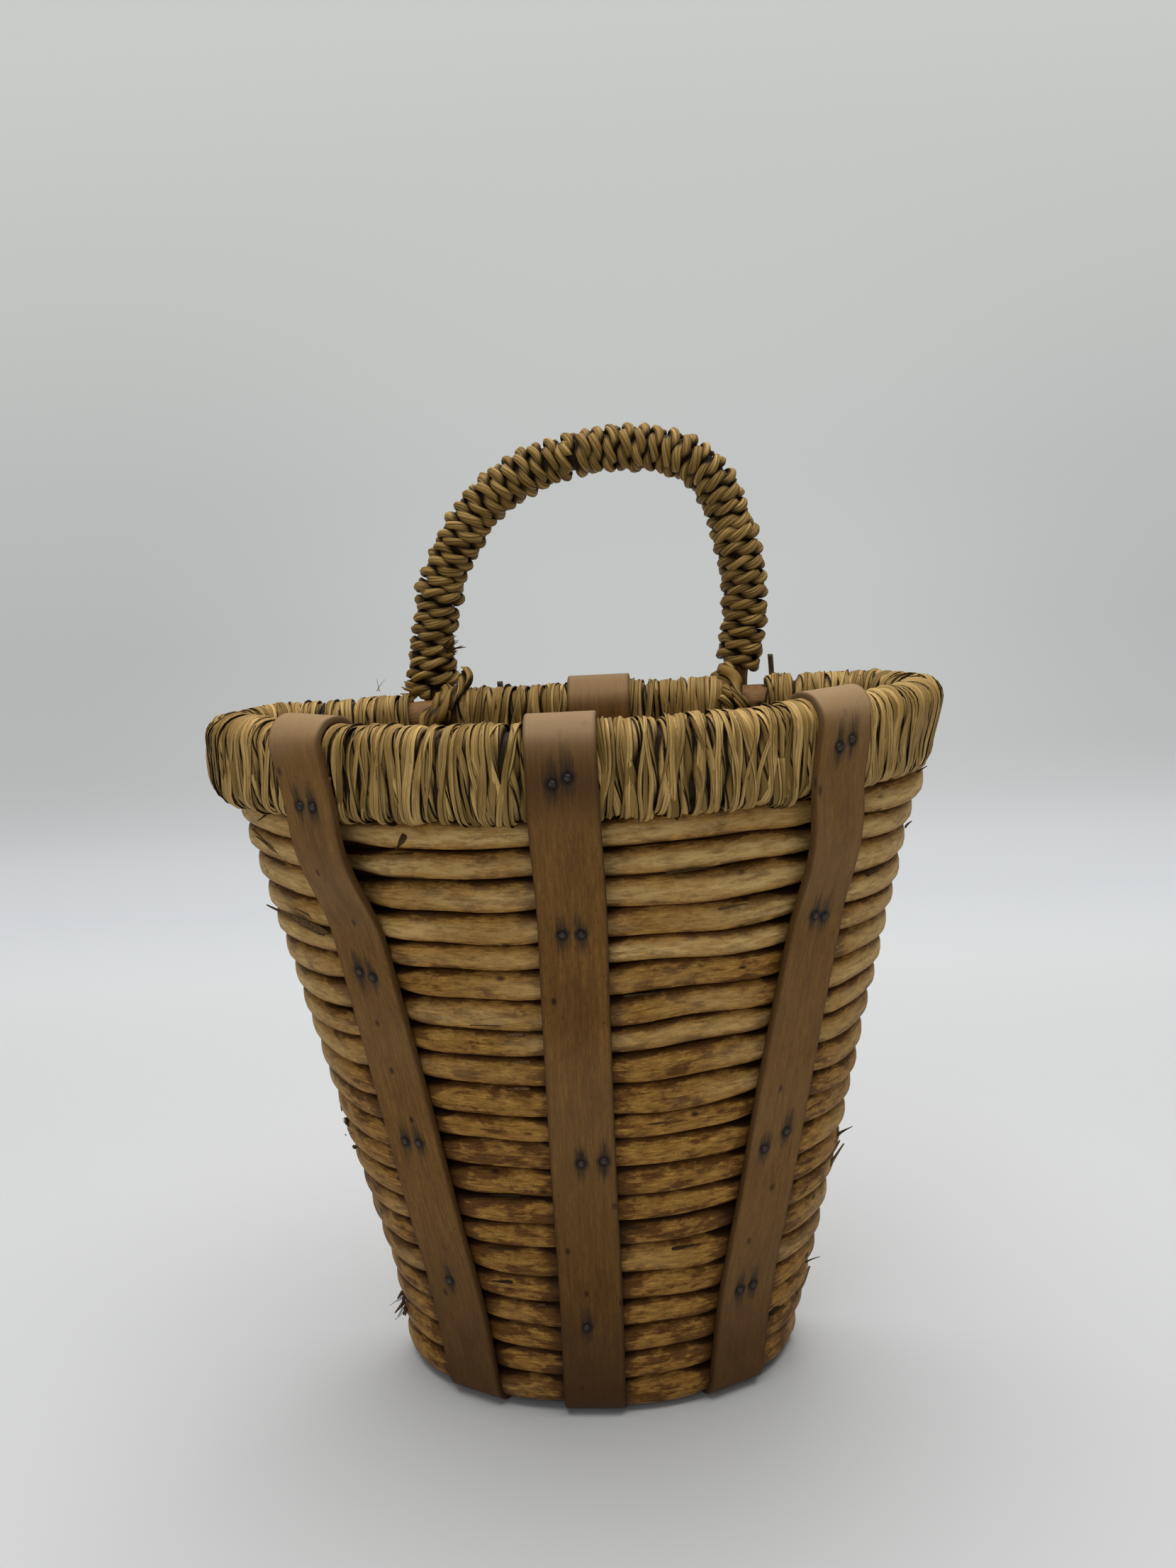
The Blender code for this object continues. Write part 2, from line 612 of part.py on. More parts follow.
def build_ropes(collection, material):
    """The two lengths of rope wound round the bow, one unbroken tube each."""
    for name, start, end in (("handle_rope_left", 0.0, ROPE_JOIN_SHARE),
                             ("handle_rope_right", ROPE_JOIN_SHARE, 1.0)):
        points = winding_points(start, end)
        gap = least_gap(points, ROPE_DIAMETER, STEPS_A_TURN / 2)
        print(f"{name}: least gap between turns {gap * 1000:.2f} mm")
        curve = poly_curve(name, points, resolution=1, depth=ROPE_DIAMETER / 2)
        place(name, curve, material, collection)


def build_lashings(collection, material):
    """The rope that ties each leg to the hoops: one slanted loop whose ends pass in front."""
    middle = RIM_HEIGHT - WRAP_HEIGHT / 2
    radius = LASHING_DIAMETER / 2
    hoop_y = RIM_BACK_Y - WRAP_WIDTH / 2
    front = hoop_y - HOOP_DIAMETER / 2 - CLEARANCE - radius
    back = BOW_Y + BOW_DIAMETER / 2 + CLEARANCE + radius
    half_depth = (back - front) / 2
    half_height = HOOP_DIAMETER + CLEARANCE + radius
    for name, foot in (("foot_lashing_left", HANDLE_CENTRE_X - FOOT_HALF_SPACING),
                       ("foot_lashing_right", HANDLE_CENTRE_X + FOOT_HALF_SPACING)):
        points = []
        for degrees in np.linspace(LASHING_START_DEGREES, LASHING_END_DEGREES, LASHING_STEPS):
            turn = math.radians(degrees)
            y = -math.copysign(abs(math.cos(turn)) ** LASHING_ROUNDNESS, math.cos(turn)) * half_depth
            z = math.copysign(abs(math.sin(turn)) ** LASHING_ROUNDNESS, math.sin(turn)) * half_height
            drift = LASHING_DRIFT * (degrees - 180.0) / 360.0
            x = foot + LASHING_HALF_SPAN * math.sin(turn) + drift
            points.append((x, (front + back) / 2 + y, middle + z))
        points = np.array(points)
        gap = least_gap(points, LASHING_DIAMETER, LASHING_STEPS / 2)
        print(f"{name}: least gap between its ends {gap * 1000:.2f} mm")
        curve = poly_curve(name, points, resolution=1, depth=radius)
        place(name, curve, material, collection)


def build_twigs(collection, material):
    """The two twigs that stand behind the wrapped rim, their ends just over it."""
    y = RIM_BACK_Y + CLEARANCE + TWIG_DIAMETER / 2
    for name, foot in (("twig_left", HANDLE_CENTRE_X - FOOT_HALF_SPACING),
                       ("twig_right", HANDLE_CENTRE_X + FOOT_HALF_SPACING)):
        points = [(foot + x * FOOT_GAP, y, height * RIM_HEIGHT) for x, height in TWIG_END_SHARES[name]]
        curve = poly_curve(name, points, resolution=1, depth=TWIG_DIAMETER / 2)
        place(name, curve, material, collection)


def main():
    """Build every piece in its collection."""
    clear_scene()
    parts = new_collection("picking_basket")
    cutters = new_collection("cutters")
    materials = {name: new_material(name, *values) for name, values in MATERIALS.items()}
    build_base(parts, materials["base_board_wood"])
    build_rods(parts, materials["peeled_rod"])
    build_hoops(parts, materials["peeled_hoop"])
    build_wraps(parts, cutters, materials["twisted_rush"])
    build_strap("strap_back", None, parts, materials["bent_strap_wood"])
    for name, strap in FRONT_STRAPS.items():
        build_strap(name, strap, parts, materials["bent_strap_wood"])
        build_nails(name, strap, parts, materials["nail_iron"])
    build_bow(parts, materials["peeled_hoop"])
    build_ropes(parts, materials["seagrass_rope"])
    build_lashings(parts, materials["seagrass_rope"])
    build_twigs(parts, materials["twig_bark"])


main()
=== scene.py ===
"""The picking basket as it looks: peeled rods, bent straps, a rush-wrapped rim and a rope-wound handle.

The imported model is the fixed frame. Each section makes one piece or one group of like pieces. Lengths
are in metres; "plan" places count y from the basket's widest plane, PLAN_SHIFT in front of the frame's.
"""

import math

import bpy
import numpy as np
from mathutils import Matrix


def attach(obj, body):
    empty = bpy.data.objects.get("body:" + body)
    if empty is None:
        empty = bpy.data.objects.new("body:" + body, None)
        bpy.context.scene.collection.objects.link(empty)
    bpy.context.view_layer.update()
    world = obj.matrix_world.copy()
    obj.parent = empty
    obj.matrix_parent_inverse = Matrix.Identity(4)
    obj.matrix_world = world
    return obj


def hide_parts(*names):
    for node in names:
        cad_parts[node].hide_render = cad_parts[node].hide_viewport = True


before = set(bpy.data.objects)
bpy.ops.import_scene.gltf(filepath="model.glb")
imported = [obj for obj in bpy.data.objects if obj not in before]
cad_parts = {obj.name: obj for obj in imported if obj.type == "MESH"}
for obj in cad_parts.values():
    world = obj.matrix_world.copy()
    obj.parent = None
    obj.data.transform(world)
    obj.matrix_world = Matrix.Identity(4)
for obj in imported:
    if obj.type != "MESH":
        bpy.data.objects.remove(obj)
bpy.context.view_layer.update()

# The photographer's stand: a camera a little above the rim, turned slightly and not quite level, over a
# pale paper floor that runs up behind the basket. The image is taken to be 1659 x 2212 pixels.
IMAGE_SIZE = (1659, 2212)
FOCAL_PIXELS = 1950.0
SENSOR_WIDTH = 36.0
CAMERA_PLACE = (0.0372, -0.5753, 0.416)
CAMERA_PITCH = math.radians(12.41)
CAMERA_HEADING = math.radians(2.97)
CAMERA_ROLL = math.radians(3.09)

camera_data = bpy.data.cameras.new("camera")
camera_data.sensor_width = SENSOR_WIDTH
camera_data.lens = FOCAL_PIXELS / IMAGE_SIZE[1] * SENSOR_WIDTH
camera_data.clip_start = 0.01
camera = bpy.data.objects.new("camera", camera_data)
camera.matrix_world = (
    Matrix.Translation(CAMERA_PLACE)
    @ Matrix.Rotation(CAMERA_HEADING, 4, "Z")
    @ Matrix.Rotation(math.pi / 2 - CAMERA_PITCH, 4, "X")
    @ Matrix.Rotation(-CAMERA_ROLL, 4, "Z")
)
bpy.context.scene.collection.objects.link(camera)
bpy.context.scene.camera = camera
bpy.context.scene.view_settings.view_transform = "Standard"


def new_material(name, colour, roughness):
    """A Principled material with its flat values; returns the material, its tree and its shader."""
    material = bpy.data.materials.new(name)
    material.use_nodes = True
    shader = material.node_tree.nodes["Principled BSDF"]
    shader.inputs["Base Color"].default_value = (*colour, 1.0)
    shader.inputs["Roughness"].default_value = roughness
    return material, material.node_tree, shader


def add_node(tree, kind, inputs=None, **settings):
    """A shader node with its settings; each input is a value, or a socket that is linked to it."""
    item = tree.nodes.new(kind)
    for key, value in settings.items():
        setattr(item, key, value)
    for key, value in (inputs or {}).items():
        if isinstance(value, bpy.types.NodeSocket):
            tree.links.new(value, item.inputs[key])
        else:
            item.inputs[key].default_value = value
    return item


def add_ramp(tree, factor, stops):
    """A colour ramp through (place, value) or (place, (r, g, b)) stops, driven by a socket."""
    ramp = add_node(tree, "ShaderNodeValToRGB", {"Fac": factor})
    elements = ramp.color_ramp.elements
    while len(elements) < len(stops):
        elements.new(0.5)
    for element, (place, value) in zip(elements, stops):
        element.position = place
        rgb = value if isinstance(value, tuple) else (value, value, value)
        element.color = (*rgb, 1.0)
    return ramp.outputs["Color"]


def add_lamp(name, place, target, size, power, colour):
    """A square area lamp at a place, aimed at a target."""
    lamp = bpy.data.lights.new(name, "AREA")
    lamp.size = size
    lamp.energy = power
    lamp.color = colour
    item = bpy.data.objects.new(name, lamp)
    item.location = place
    aim = Matrix.Translation(target).to_translation() - item.location
    item.rotation_mode = "QUATERNION"
    item.rotation_quaternion = aim.to_track_quat("-Z", "Y")
    bpy.context.scene.collection.objects.link(item)


add_lamp("overhead_softbox", (0.05, 0.02, 2.3), (0.0, 0.0, 0.0), 2.3, 57.0, (1.0, 0.99, 0.97))
add_lamp("front_softbox", (-0.5, -1.9, 1.2), (0.0, 0.0, 0.2), 1.6, 5.5, (1.0, 0.99, 0.98))

world = bpy.data.worlds.new("studio")
bpy.context.scene.world = world
world.use_nodes = True
world.node_tree.nodes["Background"].inputs["Color"].default_value = (0.95, 0.98, 1.0, 1.0)
world.node_tree.nodes["Background"].inputs["Strength"].default_value = 0.142

SWEEP_HALF_WIDTH = 4.0
SWEEP_FRONT = -4.0
SWEEP_BEND_START = 1.2
SWEEP_RADIUS = 0.6
SWEEP_TOP = 4.0
HALO_X = 0.06


def build_sweep():
    """The paper: floor, quarter circle and wall, a profile in y and z carried along x."""
    turn = np.linspace(0.0, math.pi / 2, 17)
    y = np.concatenate([[SWEEP_FRONT], SWEEP_BEND_START + SWEEP_RADIUS * np.sin(turn), [SWEEP_BEND_START + SWEEP_RADIUS]])
    z = np.concatenate([[0.0], SWEEP_RADIUS * (1.0 - np.cos(turn)), [SWEEP_TOP]])
    rows = len(y)
    corners = np.zeros((rows, 2, 3))
    corners[:, 0, 0] = -SWEEP_HALF_WIDTH
    corners[:, 1, 0] = SWEEP_HALF_WIDTH
    corners[:, :, 1] = y[:, None]
    corners[:, :, 2] = z[:, None]
    first = np.arange(rows - 1) * 2
    faces = np.stack([first, first + 1, first + 3, first + 2], axis=1)
    mesh = bpy.data.meshes.new("paper_sweep")
    mesh.from_pydata(corners.reshape(-1, 3), [], faces.tolist())
    mesh.shade_smooth()
    item = bpy.data.objects.new("paper_sweep", mesh)
    bpy.context.scene.collection.objects.link(item)
    return item


sweep = build_sweep()
paper, paper_tree, paper_shader = new_material("pale_paper", (0.7, 0.7, 0.7), 0.9)
paper_shader.inputs["Specular IOR Level"].default_value = 0.1
paper_shader.inputs["Emission Strength"].default_value = 1.0
# Behind the basket, camera rays see painted light instead of the lit paper: a glow that paints the backdrop's shading,
# darkest where the paper bends up and paler in front of that and higher up the wall, with a painted pool of light (the
# halo) round HALO_X. Near the basket the paper is lit and takes the real shadow.
paper_place = add_node(paper_tree, "ShaderNodeTexCoord").outputs["Object"]
paper_axes = add_node(paper_tree, "ShaderNodeSeparateXYZ", {0: paper_place})
paper_run = add_node(paper_tree, "ShaderNodeMath", {0: paper_axes.outputs["Y"], 1: paper_axes.outputs["Z"]}, operation="ADD")
paper_share = add_node(paper_tree, "ShaderNodeMapRange", {"Value": paper_run.outputs[0], "From Min": -0.6, "From Max": 3.4})
paper_far = add_node(paper_tree, "ShaderNodeMapRange", {"Value": paper_run.outputs[0], "From Min": 0.25, "From Max": 0.75})
paper_far.interpolation_type = "SMOOTHSTEP"
seen = add_node(paper_tree, "ShaderNodeLightPath").outputs["Is Camera Ray"]
paper_seen = add_node(paper_tree, "ShaderNodeMath", {0: paper_far.outputs[0], 1: seen}, operation="MULTIPLY").outputs[0]
paper_glow = add_ramp(paper_tree, paper_share.outputs[0], [
    (0.24, (0.715, 0.735, 0.74)), (0.285, (0.705, 0.725, 0.73)), (0.34, (0.625, 0.642, 0.66)),
    (0.39, (0.585, 0.60, 0.61)), (0.44, (0.51, 0.523, 0.53)), (0.50, (0.465, 0.478, 0.475)),
    (0.60, (0.452, 0.468, 0.465)), (0.70, (0.48, 0.497, 0.49)), (0.78, (0.525, 0.545, 0.525)),
    (0.88, (0.58, 0.598, 0.572))])
paper_halo_rows = add_ramp(paper_tree, paper_share.outputs[0], [
    (0.24, 0.30), (0.39, 0.55), (0.545, 0.95), (0.60, 1.0), (0.64, 0.90), (0.69, 0.60), (0.754, 0.35), (0.836, 0.0)])
paper_aside = add_node(paper_tree, "ShaderNodeMath", {0: paper_axes.outputs["X"], 1: HALO_X}, operation="SUBTRACT").outputs[0]
paper_distance = add_node(paper_tree, "ShaderNodeMath", {0: paper_aside}, operation="ABSOLUTE").outputs[0]
paper_halo_side = add_node(paper_tree, "ShaderNodeMapRange", {
    "Value": paper_distance, "From Min": 0.1, "From Max": 0.95, "To Min": 1.0, "To Max": 0.0})
paper_halo_side.interpolation_type = "SMOOTHSTEP"
paper_halo = add_node(paper_tree, "ShaderNodeMath", {0: paper_halo_rows, 1: paper_halo_side.outputs[0]}, operation="MULTIPLY").outputs[0]


def mix_colour(tree, factor, first, second, blend="MIX"):
    """A colour mix; factor and colours are sockets or values."""
    mix = tree.nodes.new("ShaderNodeMix")
    mix.data_type = "RGBA"
    mix.blend_type = blend
    for index, value in ((0, factor), (6, first), (7, second)):
        if isinstance(value, bpy.types.NodeSocket):
            tree.links.new(value, mix.inputs[index])
        else:
            mix.inputs[index].default_value = value if index == 0 else (*value, 1.0)
    return mix.outputs[2]


black = (0.0, 0.0, 0.0)
paper_tree.links.new(mix_colour(paper_tree, paper_seen, (0.68, 0.69, 0.70), black), paper_shader.inputs["Base Color"])
paper_glow = mix_colour(paper_tree, paper_halo, paper_glow, (0.090, 0.092, 0.085), "ADD")
paper_tree.links.new(mix_colour(paper_tree, paper_seen, black, paper_glow), paper_shader.inputs["Emission Color"])
sweep.data.materials.append(paper)

# The wall: twenty-one peeled rods, each bent round the half-round plan and stacked on the one below,
# its ends meeting behind the back strap. They are sap-stained, knotty and a little crooked.
PLAN_SHIFT = 0.0421
WALL_BASE = {"half_width": 0.0965, "front_depth": 0.0645}
WALL_TOP = {"half_width": 0.1545, "front_depth": 0.0985}
WALL_FLARE = 1.12
WAIST_DEPTH = 0.0024
WAIST_HEIGHT = 0.055
WAIST_REACH = 0.034
BACK_FACE_Y = 0.0105
WALL_CORNER_RADIUS = 0.022
RODS_FLOOR = 0.0035
RODS_TOP = 0.2877
ROD_SHARES = np.array((1.15, 1.05, 1.05, 0.95, 1.05, 1.15, 0.9, 0.95, 1.05, 1.05, 0.85,
                       1.1, 1.05, 0.9, 1.0, 1.0, 0.85, 1.0, 1.05, 0.9, 0.95))
STRAP_WIDTH = 0.028
STRAP_MARGIN = 0.0015
STRAP_ANGLES = {"left": (-37.0, -38.8, -39.5), "centre": (-1.9, 0.9, 0.5), "right": (38.2, 45.6, 42.5)}
BACK_STRAP_X = 0.012
ROD_STEPS = 460
ROD_SIDES = 22
ROD_SQUARENESS = 3.0
ROD_FILL = 1.03
ROD_WANDER = 0.0009
PINCH_SHARES = {"left": 0.26, "centre": 0.05, "right": 0.20}
PINCH_REACH = 0.0185
TOP_ROD_BULGE = 0.0028
FOOT_TUCK = 0.0048
random = np.random.default_rng(21)


def lengths_along(points):
    """Distance of each point from the first, along the line."""
    steps = np.linalg.norm(np.diff(points, axis=0), axis=1)
    return np.concatenate([[0.0], np.cumsum(steps)])


def resample(points, places):
    """Points of a line at given distances along it."""
    lengths = lengths_along(points)
    return np.stack([np.interp(places, lengths, column) for column in points.T], axis=1)


def smooth(values, reach, cyclic=False):
    """A running mean with a bell of the given reach in samples, along the first axis."""
    offsets = np.arange(-3 * reach, 3 * reach + 1)
    bell = np.exp(-0.5 * (offsets / reach) ** 2)
    bell /= bell.sum()
    padded = np.pad(values, [(3 * reach, 3 * reach)] + [(0, 0)] * (values.ndim - 1), mode="wrap" if cyclic else "edge")
    flat = padded.reshape(len(padded), -1)
    rows = [np.convolve(column, bell, mode="valid") for column in flat.T]
    return np.stack(rows, axis=1).reshape(values.shape)


def drift(count, reach, source=random):
    """A smooth random line of unit spread whose humps are about reach samples long."""
    line = smooth(source.standard_normal(count + 6 * reach), reach)[3 * reach:3 * reach + count]
    return line / max(line.std(), 1e-9)


def wall_sizes(height):
    """Half width and front depth of the wall at a height: a flare, drawn in a little above the foot."""
    share = height / RODS_TOP
    half_width = WALL_BASE["half_width"] + (WALL_TOP["half_width"] - WALL_BASE["half_width"]) * share ** WALL_FLARE
    half_width = half_width - WAIST_DEPTH * np.exp(-((height - WAIST_HEIGHT) / WAIST_REACH) ** 2)
    return half_width, WALL_BASE["front_depth"] + (WALL_TOP["front_depth"] - WALL_BASE["front_depth"]) * share


def ellipse_reach(half_width, front_depth, back_y, corner_radius):
    """The ellipse's own half width, so that the plan is half_width wide where its corners start."""
    return half_width / math.sqrt(1.0 - ((corner_radius - back_y) / front_depth) ** 2)


def strap_angle(strap, height):
    """The angle in the ellipse at which a front strap crosses the plan, in radians."""
    foot, top, rim = STRAP_ANGLES[strap]
    return math.radians(rim if height > RODS_TOP + 0.01 else foot + (top - foot) * min(height / RODS_TOP, 1.0))


def strap_chord(strap, half_width, front_depth, height):
    """The straight run of the plan under a strap: its half angle, its ends and its outward normal."""
    angle = strap_angle(strap, height)
    stretch = math.hypot(half_width * math.cos(angle), front_depth * math.sin(angle))
    reach = (STRAP_WIDTH / 2 + STRAP_MARGIN) / stretch
    ends = np.array([(half_width * math.sin(a), -front_depth * math.cos(a)) for a in (angle - reach, angle + reach)])
    along = (ends[1] - ends[0]) / np.linalg.norm(ends[1] - ends[0])
    return angle, reach, ends, np.array([along[1], -along[0]])


def plan_path(half_width, front_depth, back_y, corner_radius, inset, height, count):
    """Evenly spaced plan points from the joint behind the back strap round the left, front and right.

    The outer line is half an ellipse, x = a sin t and y = -d cos t, made straight under each strap, then
    two quarter circles and the straight back; every point moves inward by the inset. Returns the points,
    their outward normals and the distances at which the straps cross.
    """
    a = ellipse_reach(half_width, front_depth, back_y, corner_radius)
    end = math.acos((corner_radius - back_y) / front_depth)
    t = np.linspace(-end, end, 361)
    front = np.stack([a * np.sin(t), -front_depth * np.cos(t)], axis=1)
    normal = np.stack([np.sin(t) / a, -np.cos(t) / front_depth], axis=1)
    normal /= np.linalg.norm(normal, axis=1)[:, None]
    marks = {}
    for strap in STRAP_ANGLES:
        angle, reach, ends, out = strap_chord(strap, a, front_depth, height)
        under = np.abs(t - angle) < reach
        share = ((t - angle + reach) / (2 * reach))[:, None]
        front = np.where(under[:, None], ends[0] + (ends[1] - ends[0]) * share, front)
        normal = np.where(under[:, None], out, normal)
        marks[strap] = angle
    turn = np.linspace(0.0, math.pi / 2, 24)[1:, None]
    edge = front[-1, 0] - corner_radius
    corner_normal = np.concatenate([np.cos(turn), np.sin(turn)], axis=1)
    right = np.array([edge, back_y - corner_radius]) + corner_radius * corner_normal
    mirror = np.array([-1.0, 1.0])
    line = np.vstack([[BACK_STRAP_X, back_y], (right * mirror)[::-1], front, right, [BACK_STRAP_X, back_y]])
    back_normal = np.array([[0.0, 1.0]])
    out = np.vstack([back_normal, (corner_normal * mirror)[::-1], normal, corner_normal, back_normal])
    line = line - out * inset
    lengths = lengths_along(line)
    first = len(right) + 1
    places = {strap: float(np.interp(angle, t, lengths[first:first + len(t)])) for strap, angle in marks.items()}
    points = smooth(resample(line, np.linspace(0.0, lengths[-1], count)), 2)
    tangent = np.gradient(points, axis=0)
    tangent /= np.linalg.norm(tangent, axis=1)[:, None]
    outward = np.stack([tangent[:, 1], -tangent[:, 0]], axis=1)
    return points, outward, places, lengths[-1]


def tube_map(run, round_run):
    """UV corners of a tube in metres: u = the distance along it, v = the distance round it."""
    return np.stack(np.broadcast_arrays(run[:, None], round_run[None, :]), axis=-1)


def add_surface(name, grid, material, corner_map, marks=None, slot=None, stands_for=(), extra_parts=()):
    """A closed skin over grids of points: rows along a path, columns round its section.

    Quads join neighbours, the columns close on themselves and each end closes with a fan round its
    middle. corner_map holds the UV places, one column more than the grid. marks holds attributes with
    one value a grid point. The faces are turned if the signed volume, sum of a . (b x c) / 6, is negative.
    extra_parts holds further (grid, corner_map, marks) of the same piece.
    """
    points_all, corners_all, counts_all, uv_all = [], [], [], []
    marks_all = {key: [] for key in (marks or {})}
    offset = 0
    for part, part_map, part_marks in [(grid, corner_map, marks), *extra_parts]:
        rows, columns = part.shape[:2]
        i = np.arange(rows - 1)[:, None]
        j = np.arange(columns)[None, :]
        j2 = (j + 1) % columns
        quads = np.stack(np.broadcast_arrays(i * columns + j, i * columns + j2, (i + 1) * columns + j2, (i + 1) * columns + j), axis=-1)
        uv = np.stack([part_map[:-1, :-1], part_map[:-1, 1:], part_map[1:, 1:], part_map[1:, :-1]], axis=2)
        ring = np.arange(columns)
        ring2 = (ring + 1) % columns
        low = np.stack([ring2, ring, np.full(columns, rows * columns)], axis=1)
        last = (rows - 1) * columns
        high = np.stack([last + ring, last + ring2, np.full(columns, rows * columns + 1)], axis=1)
        low_uv = np.stack([part_map[0, 1:], part_map[0, :-1], part_map[0, :-1]], axis=1)
        high_uv = np.stack([part_map[-1, :-1], part_map[-1, 1:], part_map[-1, 1:]], axis=1)
        points = np.concatenate([part.reshape(-1, 3), [part[0].mean(axis=0), part[-1].mean(axis=0)]])
        a, b, c, d = (points[quads[..., k]] for k in range(4))
        volume = (a * np.cross(b, c)).sum() + (a * np.cross(c, d)).sum()
        if volume < 0:
            quads, uv = quads[..., ::-1], uv[..., ::-1, :]
            low, high, low_uv, high_uv = low[:, ::-1], high[:, ::-1], low_uv[:, ::-1], high_uv[:, ::-1]
        corners_all.append(np.concatenate([quads.reshape(-1), low.reshape(-1), high.reshape(-1)]) + offset)
        counts_all.append(np.concatenate([np.full((rows - 1) * columns, 4), np.full(2 * columns, 3)]))
        uv_all.append(np.concatenate([uv.reshape(-1, 2), low_uv.reshape(-1, 2), high_uv.reshape(-1, 2)]))
        points_all.append(points)
        for key, values in (part_marks or {}).items():
            full = np.broadcast_to(values if np.ndim(values) == 2 else np.reshape(values, (-1, 1)), (rows, columns))
            marks_all[key].append(np.concatenate([full.reshape(-1), [full[0].mean(), full[-1].mean()]]))
        offset += len(points)
    points, corners, counts, uvs = (np.concatenate(parts) for parts in (points_all, corners_all, counts_all, uv_all))
    mesh = bpy.data.meshes.new(name)
    mesh.vertices.add(len(points))
    mesh.vertices.foreach_set("co", points.astype(np.float32).reshape(-1))
    mesh.loops.add(len(corners))
    mesh.loops.foreach_set("vertex_index", corners.astype(np.int32))
    mesh.polygons.add(len(counts))
    mesh.polygons.foreach_set("loop_start", np.concatenate([[0], np.cumsum(counts)[:-1]]).astype(np.int32))
    mesh.polygons.foreach_set("use_smooth", np.ones(len(counts), bool))
    mesh.uv_layers.new(name="run").data.foreach_set("uv", uvs.astype(np.float32).reshape(-1))
    for key, values in marks_all.items():
        values = np.concatenate(values).astype(np.float32)
        mesh.attributes.new(key, "FLOAT", "POINT").data.foreach_set("value", values)
    mesh.update(calc_edges=True)
    mesh.materials.append(material)
    item = bpy.data.objects.new(name, mesh)
    bpy.context.scene.collection.objects.link(item)
    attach(item, "root")
    if stands_for:
        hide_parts(*stands_for)
    return item


def new_group(name, inputs, outputs):
    """An empty shader node group with named sockets; returns it with its input and output nodes."""
    group = bpy.data.node_groups.new(name, "ShaderNodeTree")
    for label, kind in inputs:
        group.interface.new_socket(label, in_out="INPUT", socket_type=kind)
    for label, kind in outputs:
        group.interface.new_socket(label, in_out="OUTPUT", socket_type=kind)
    return group, group.nodes.new("NodeGroupInput"), group.nodes.new("NodeGroupOutput")


def build_wood_figure():
    """The figure of bare wood on a UV map in metres.

    Streak is noise stretched along u, mottle and stain are finer and coarser noise a little longer than
    wide, grain is fine noise, speck is noise cut high, and knots are the middles of a few plane cells.
    """
    group, given, result = new_group(
        "wood_figure",
        [("Fibre", "NodeSocketFloat"), ("Mottle", "NodeSocketFloat"), ("Blotch", "NodeSocketFloat"), ("Tone", "NodeSocketFloat")],
        [(label, "NodeSocketFloat") for label in ("Streak", "Mottle", "Stain", "Grain", "Speck", "Knot", "Height")])
    place = add_node(group, "ShaderNodeUVMap", uv_map="run").outputs[0]
    shifted = add_node(group, "ShaderNodeVectorMath", {0: place}, operation="ADD")
    seed = add_node(group, "ShaderNodeCombineXYZ", {"X": given.outputs["Tone"], "Y": given.outputs["Tone"]})
    seed_far = add_node(group, "ShaderNodeVectorMath", {0: seed.outputs[0], "Scale": 7.0}, operation="SCALE")
    group.links.new(seed_far.outputs[0], shifted.inputs[1])

    def noise(stretch, scale, detail, roughness):
        stretched = add_node(group, "ShaderNodeMapping", {"Vector": shifted.outputs[0], "Scale": (stretch, 1.0, 1.0)})
        return add_node(group, "ShaderNodeTexNoise", {
            "Vector": stretched.outputs[0], "Scale": scale, "Detail": detail, "Roughness": roughness}).outputs["Fac"]

    streak = noise(0.05, given.outputs["Fibre"], 6.0, 0.6)
    mottle = noise(0.45, given.outputs["Mottle"], 8.0, 0.7)
    stain = noise(0.40, given.outputs["Blotch"], 8.0, 0.68)
    grain = noise(0.13, 1200.0, 3.0, 0.7)
    sharp_grain = add_ramp(group, grain, [(0.32, 0.08), (0.68, 0.90)])
    speck = noise(0.60, 800.0, 4.0, 0.75)
    cell_place = add_node(group, "ShaderNodeMapping", {"Vector": shifted.outputs[0], "Scale": (0.6, 1.0, 1.0)})
    cell = add_node(group, "ShaderNodeTexVoronoi", {"Vector": cell_place.outputs[0], "Scale": 70.0}, voronoi_dimensions="2D")
    cell_value = add_node(group, "ShaderNodeSeparateColor", {0: cell.outputs["Color"]}).outputs[0]
    chosen = add_node(group, "ShaderNodeMath", {0: cell_value, 1: 0.72}, operation="GREATER_THAN").outputs[0]
    knot_round = add_ramp(group, cell.outputs["Distance"], [(0.0, 1.0), (0.045, 0.85), (0.10, 0.0)])
    knot = add_node(group, "ShaderNodeMath", {0: knot_round, 1: chosen}, operation="MULTIPLY").outputs[0]
    rough_height = add_node(group, "ShaderNodeMath", {0: mottle, 1: 0.8, 2: grain}, operation="MULTIPLY_ADD").outputs[0]
    height = add_node(group, "ShaderNodeMath", {0: rough_height, 1: knot}, operation="SUBTRACT").outputs[0]
    sockets = {"Streak": streak, "Mottle": mottle, "Stain": stain, "Grain": sharp_grain, "Speck": speck, "Knot": knot, "Height": height}
    for label, socket in sockets.items():
        group.links.new(socket, result.inputs[label])
    return group


wood_figure = build_wood_figure()
WOOD_ROUGHNESS = 0.6


